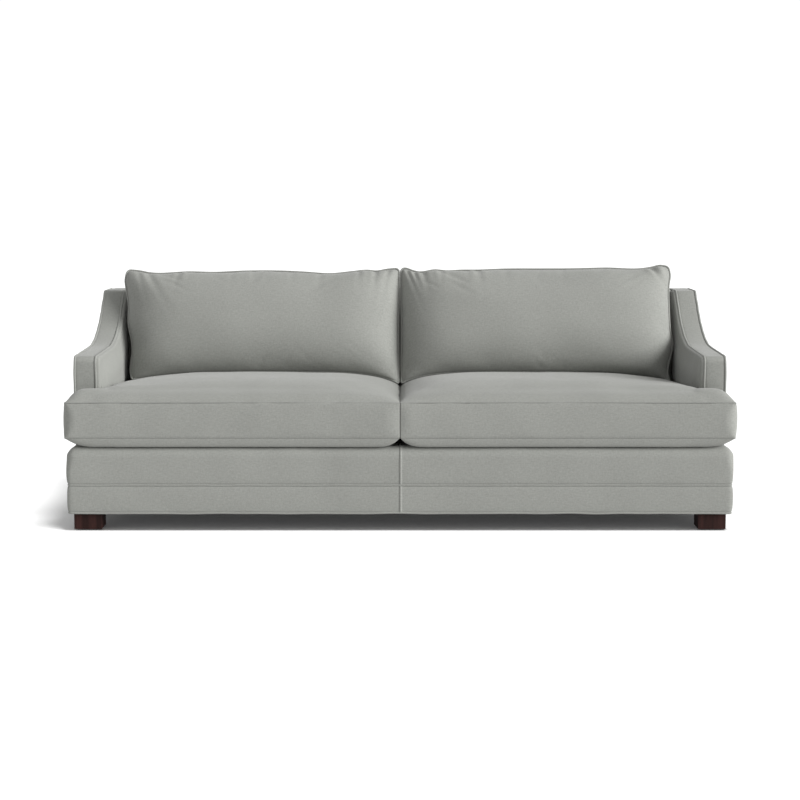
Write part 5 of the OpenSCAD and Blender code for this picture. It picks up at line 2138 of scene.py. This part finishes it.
@dataclass
class Zip(Assembly):
    """The zip in a seat cushion's rear boxing: tapes, coil of teeth and slider."""

    side: Side = Side.RIGHT
    width: float = 24.0
    depth: float = 2.5
    tooth: float = 2.4
    ride: float = 1.95
    start: float = 7.4
    wire_r: float = 0.4
    coil_from: float = 20.0
    coil_to: float = 6.0
    plates: tuple[tuple[float, float, float], ...] = ((7, 4.5, 1.0), (6, 3.8, 1.9))
    loop: tuple[float, float, float] = (4, 5, 2.6)
    loop_up: float = 2.1
    loop_r: float = 0.7

    def __post_init__(self) -> None:
        """Lets the zip ride on its cushion."""
        self.body = f"{self.side.label}_seat_cushion"

    def build(self) -> None:
        """Makes every piece."""
        label, seat = self.side.label, SeatCushion(side=self.side)
        mid = (seat.in_x + seat.arm_x) / 2
        half = seat.zip_share * seat.arm_x / 2
        z = seat.sag + seat.box / 2
        y = seat.rear - self.depth
        xs = stations(mid - half, mid + half, 12)
        zs = z + self.width / 2 * np.linspace(-1, 1, 9)
        tape = Pattern(f"{label}_zip_tapes")
        gx, gz = np.meshgrid(xs, zs)
        rise = 0.5 * bell(gz - z, 3)
        tape.grid(seat.placed(joined(gx, y + rise, gz)), flip=self.side is Side.RIGHT)
        self.add(tape, ZIP_TAPE, f"{label}_seat_zip", slot="zip_tape")
        teeth = Pattern(f"{label}_zip_coil")
        t = np.arange(mid - half + self.coil_from, mid + half - self.coil_to, self.tooth / 4)
        turn = (t - t[0]) * TURN / self.tooth
        coil = joined(t, y + 0.9 + 0.5 * np.cos(turn), z + 1.6 * np.sin(turn))
        teeth.tube(seat.placed(coil), self.wire_r, (0.3, 0.2, 1), 4)
        self.add(teeth, GLIDE, slot="zip_tape")
        body = Pattern(f"{label}_zip_slider_body")
        start = mid - half + self.start
        ring = arc([0, 0], 1, 0, 360, 20)
        for wide, high, deep in self.plates:
            rows = []
            for k, s in ((0, 0.9), (0.3, 1), (0.8, 1), (1, 0.85), (1, 0.02)):
                rows.append(joined(start + ring[:, 0] * wide * s, y + self.ride + deep * k,
                                   z + ring[:, 1] * high * s))
            body.grid(seat.placed(np.array(rows)), flip=self.side is Side.RIGHT)
        off, wide, high = self.loop
        t = np.linspace(0, TURN, 24, endpoint=False)
        loop = joined(start + off + wide * np.cos(t), y + self.ride + self.loop_up,
                      z + high * np.sin(t))
        body.tube(seat.placed(loop), self.loop_r, (0, 1, 0), 6, True)
        self.add(body, STEEL, f"{label}_seat_zip_pull", slot="steel", body=f"{label}_zip_slider")


@dataclass(frozen=True)
class Lamp:
    """A distant soft light: where it comes from, its strength and its apparent size in degrees."""

    name: str
    way: tuple[float, float, float]
    strength: float
    spread: float


@dataclass
class Studio:
    """Camera, floor and lights. The floor has a light of its own, which lights it to white."""

    lens: float = 80.0
    sensor: float = 36.0
    distance: float = 5.765
    height: float = 1.105
    tilt: float = math.radians(6.63)
    world: float = 0.56
    backdrop: float = 1.05
    floor_reach: float = 40000.0
    key: Lamp = Lamp("key", (0.855, -0.345, 0.38), 4.15, 35)
    wash: Lamp = Lamp("floor_wash", (0.24, -0.25, 0.95), 2.6, 16)

    def build(self) -> None:
        """Sets the scene."""
        scene = bpy.context.scene
        scene.view_settings.view_transform = "Standard"
        data = bpy.data.cameras.new("camera")
        data.lens, data.sensor_width = self.lens, self.sensor
        camera = bpy.data.objects.new("camera", data)
        camera.location = (0, BODY.front_y * MM - self.distance, self.height)
        camera.rotation_euler = (QUARTER - self.tilt, 0, 0)
        scene.collection.objects.link(camera)
        scene.camera = camera
        self.surroundings()
        floor = Pattern("studio_floor")
        xs = np.linspace(-self.floor_reach, self.floor_reach, 41)
        gx, gy = np.meshgrid(xs, xs)
        floor.grid(joined(gx, gy, 0.0))
        piece = floor.build(Paper("studio_paper", (0.9, 0.9, 0.9)))
        self.light(self.key, piece, "EXCLUDE")
        self.light(self.wash, piece, "INCLUDE")

    def surroundings(self) -> None:
        """Makes a white surrounding that the camera sees brighter than it lights."""
        world = bpy.data.worlds.new("studio")
        world.use_nodes = True
        nodes, links = world.node_tree.nodes, world.node_tree.links
        soft = nodes["Background"]
        seen = nodes.new("ShaderNodeBackground")
        ray = nodes.new("ShaderNodeLightPath")
        either = nodes.new("ShaderNodeMixShader")
        for shader, strength in ((soft, self.world), (seen, self.backdrop)):
            shader.inputs["Color"].default_value = (1, 1, 1, 1)
            shader.inputs["Strength"].default_value = strength
        links.new(ray.outputs["Is Camera Ray"], either.inputs["Fac"])
        links.new(soft.outputs[0], either.inputs[1])
        links.new(seen.outputs[0], either.inputs[2])
        links.new(either.outputs[0], nodes["World Output"].inputs["Surface"])
        bpy.context.scene.world = world

    def light(self, lamp: Lamp, floor: bpy.types.Object, state: str) -> None:
        """Adds a distant light that lights only the floor, or everything else.

        Args:
            lamp: The light.
            floor: The floor.
            state: INCLUDE to light only the floor, EXCLUDE to leave it out.
        """
        data = bpy.data.lights.new(lamp.name, "SUN")
        data.energy, data.angle = lamp.strength, math.radians(lamp.spread)
        light = bpy.data.objects.new(lamp.name, data)
        light.location = Vector(lamp.way) * 4
        light.rotation_euler = Vector(lamp.way).to_track_quat("Z", "Y").to_euler()
        bpy.context.scene.collection.objects.link(light)
        lit = bpy.data.collections.new(f"{lamp.name}_receivers")
        lit.objects.link(floor)
        light.light_linking.receiver_collection = lit
        lit.collection_objects[0].light_linking.link_state = state


def main() -> None:
    """Builds the classes in order."""
    logging.basicConfig(level=logging.INFO, format="%(name)s %(message)s")
    parts = [Studio(), Inside(), Base(), Underside(), Deck(), Back()]
    for side in Side:
        parts += [Arm(side=side), SeatCushion(side=side), BackCushion(side=side), Zip(side=side)]
    for part in parts:
        part.build()
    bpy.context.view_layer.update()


if __name__ == "__main__":
    main()
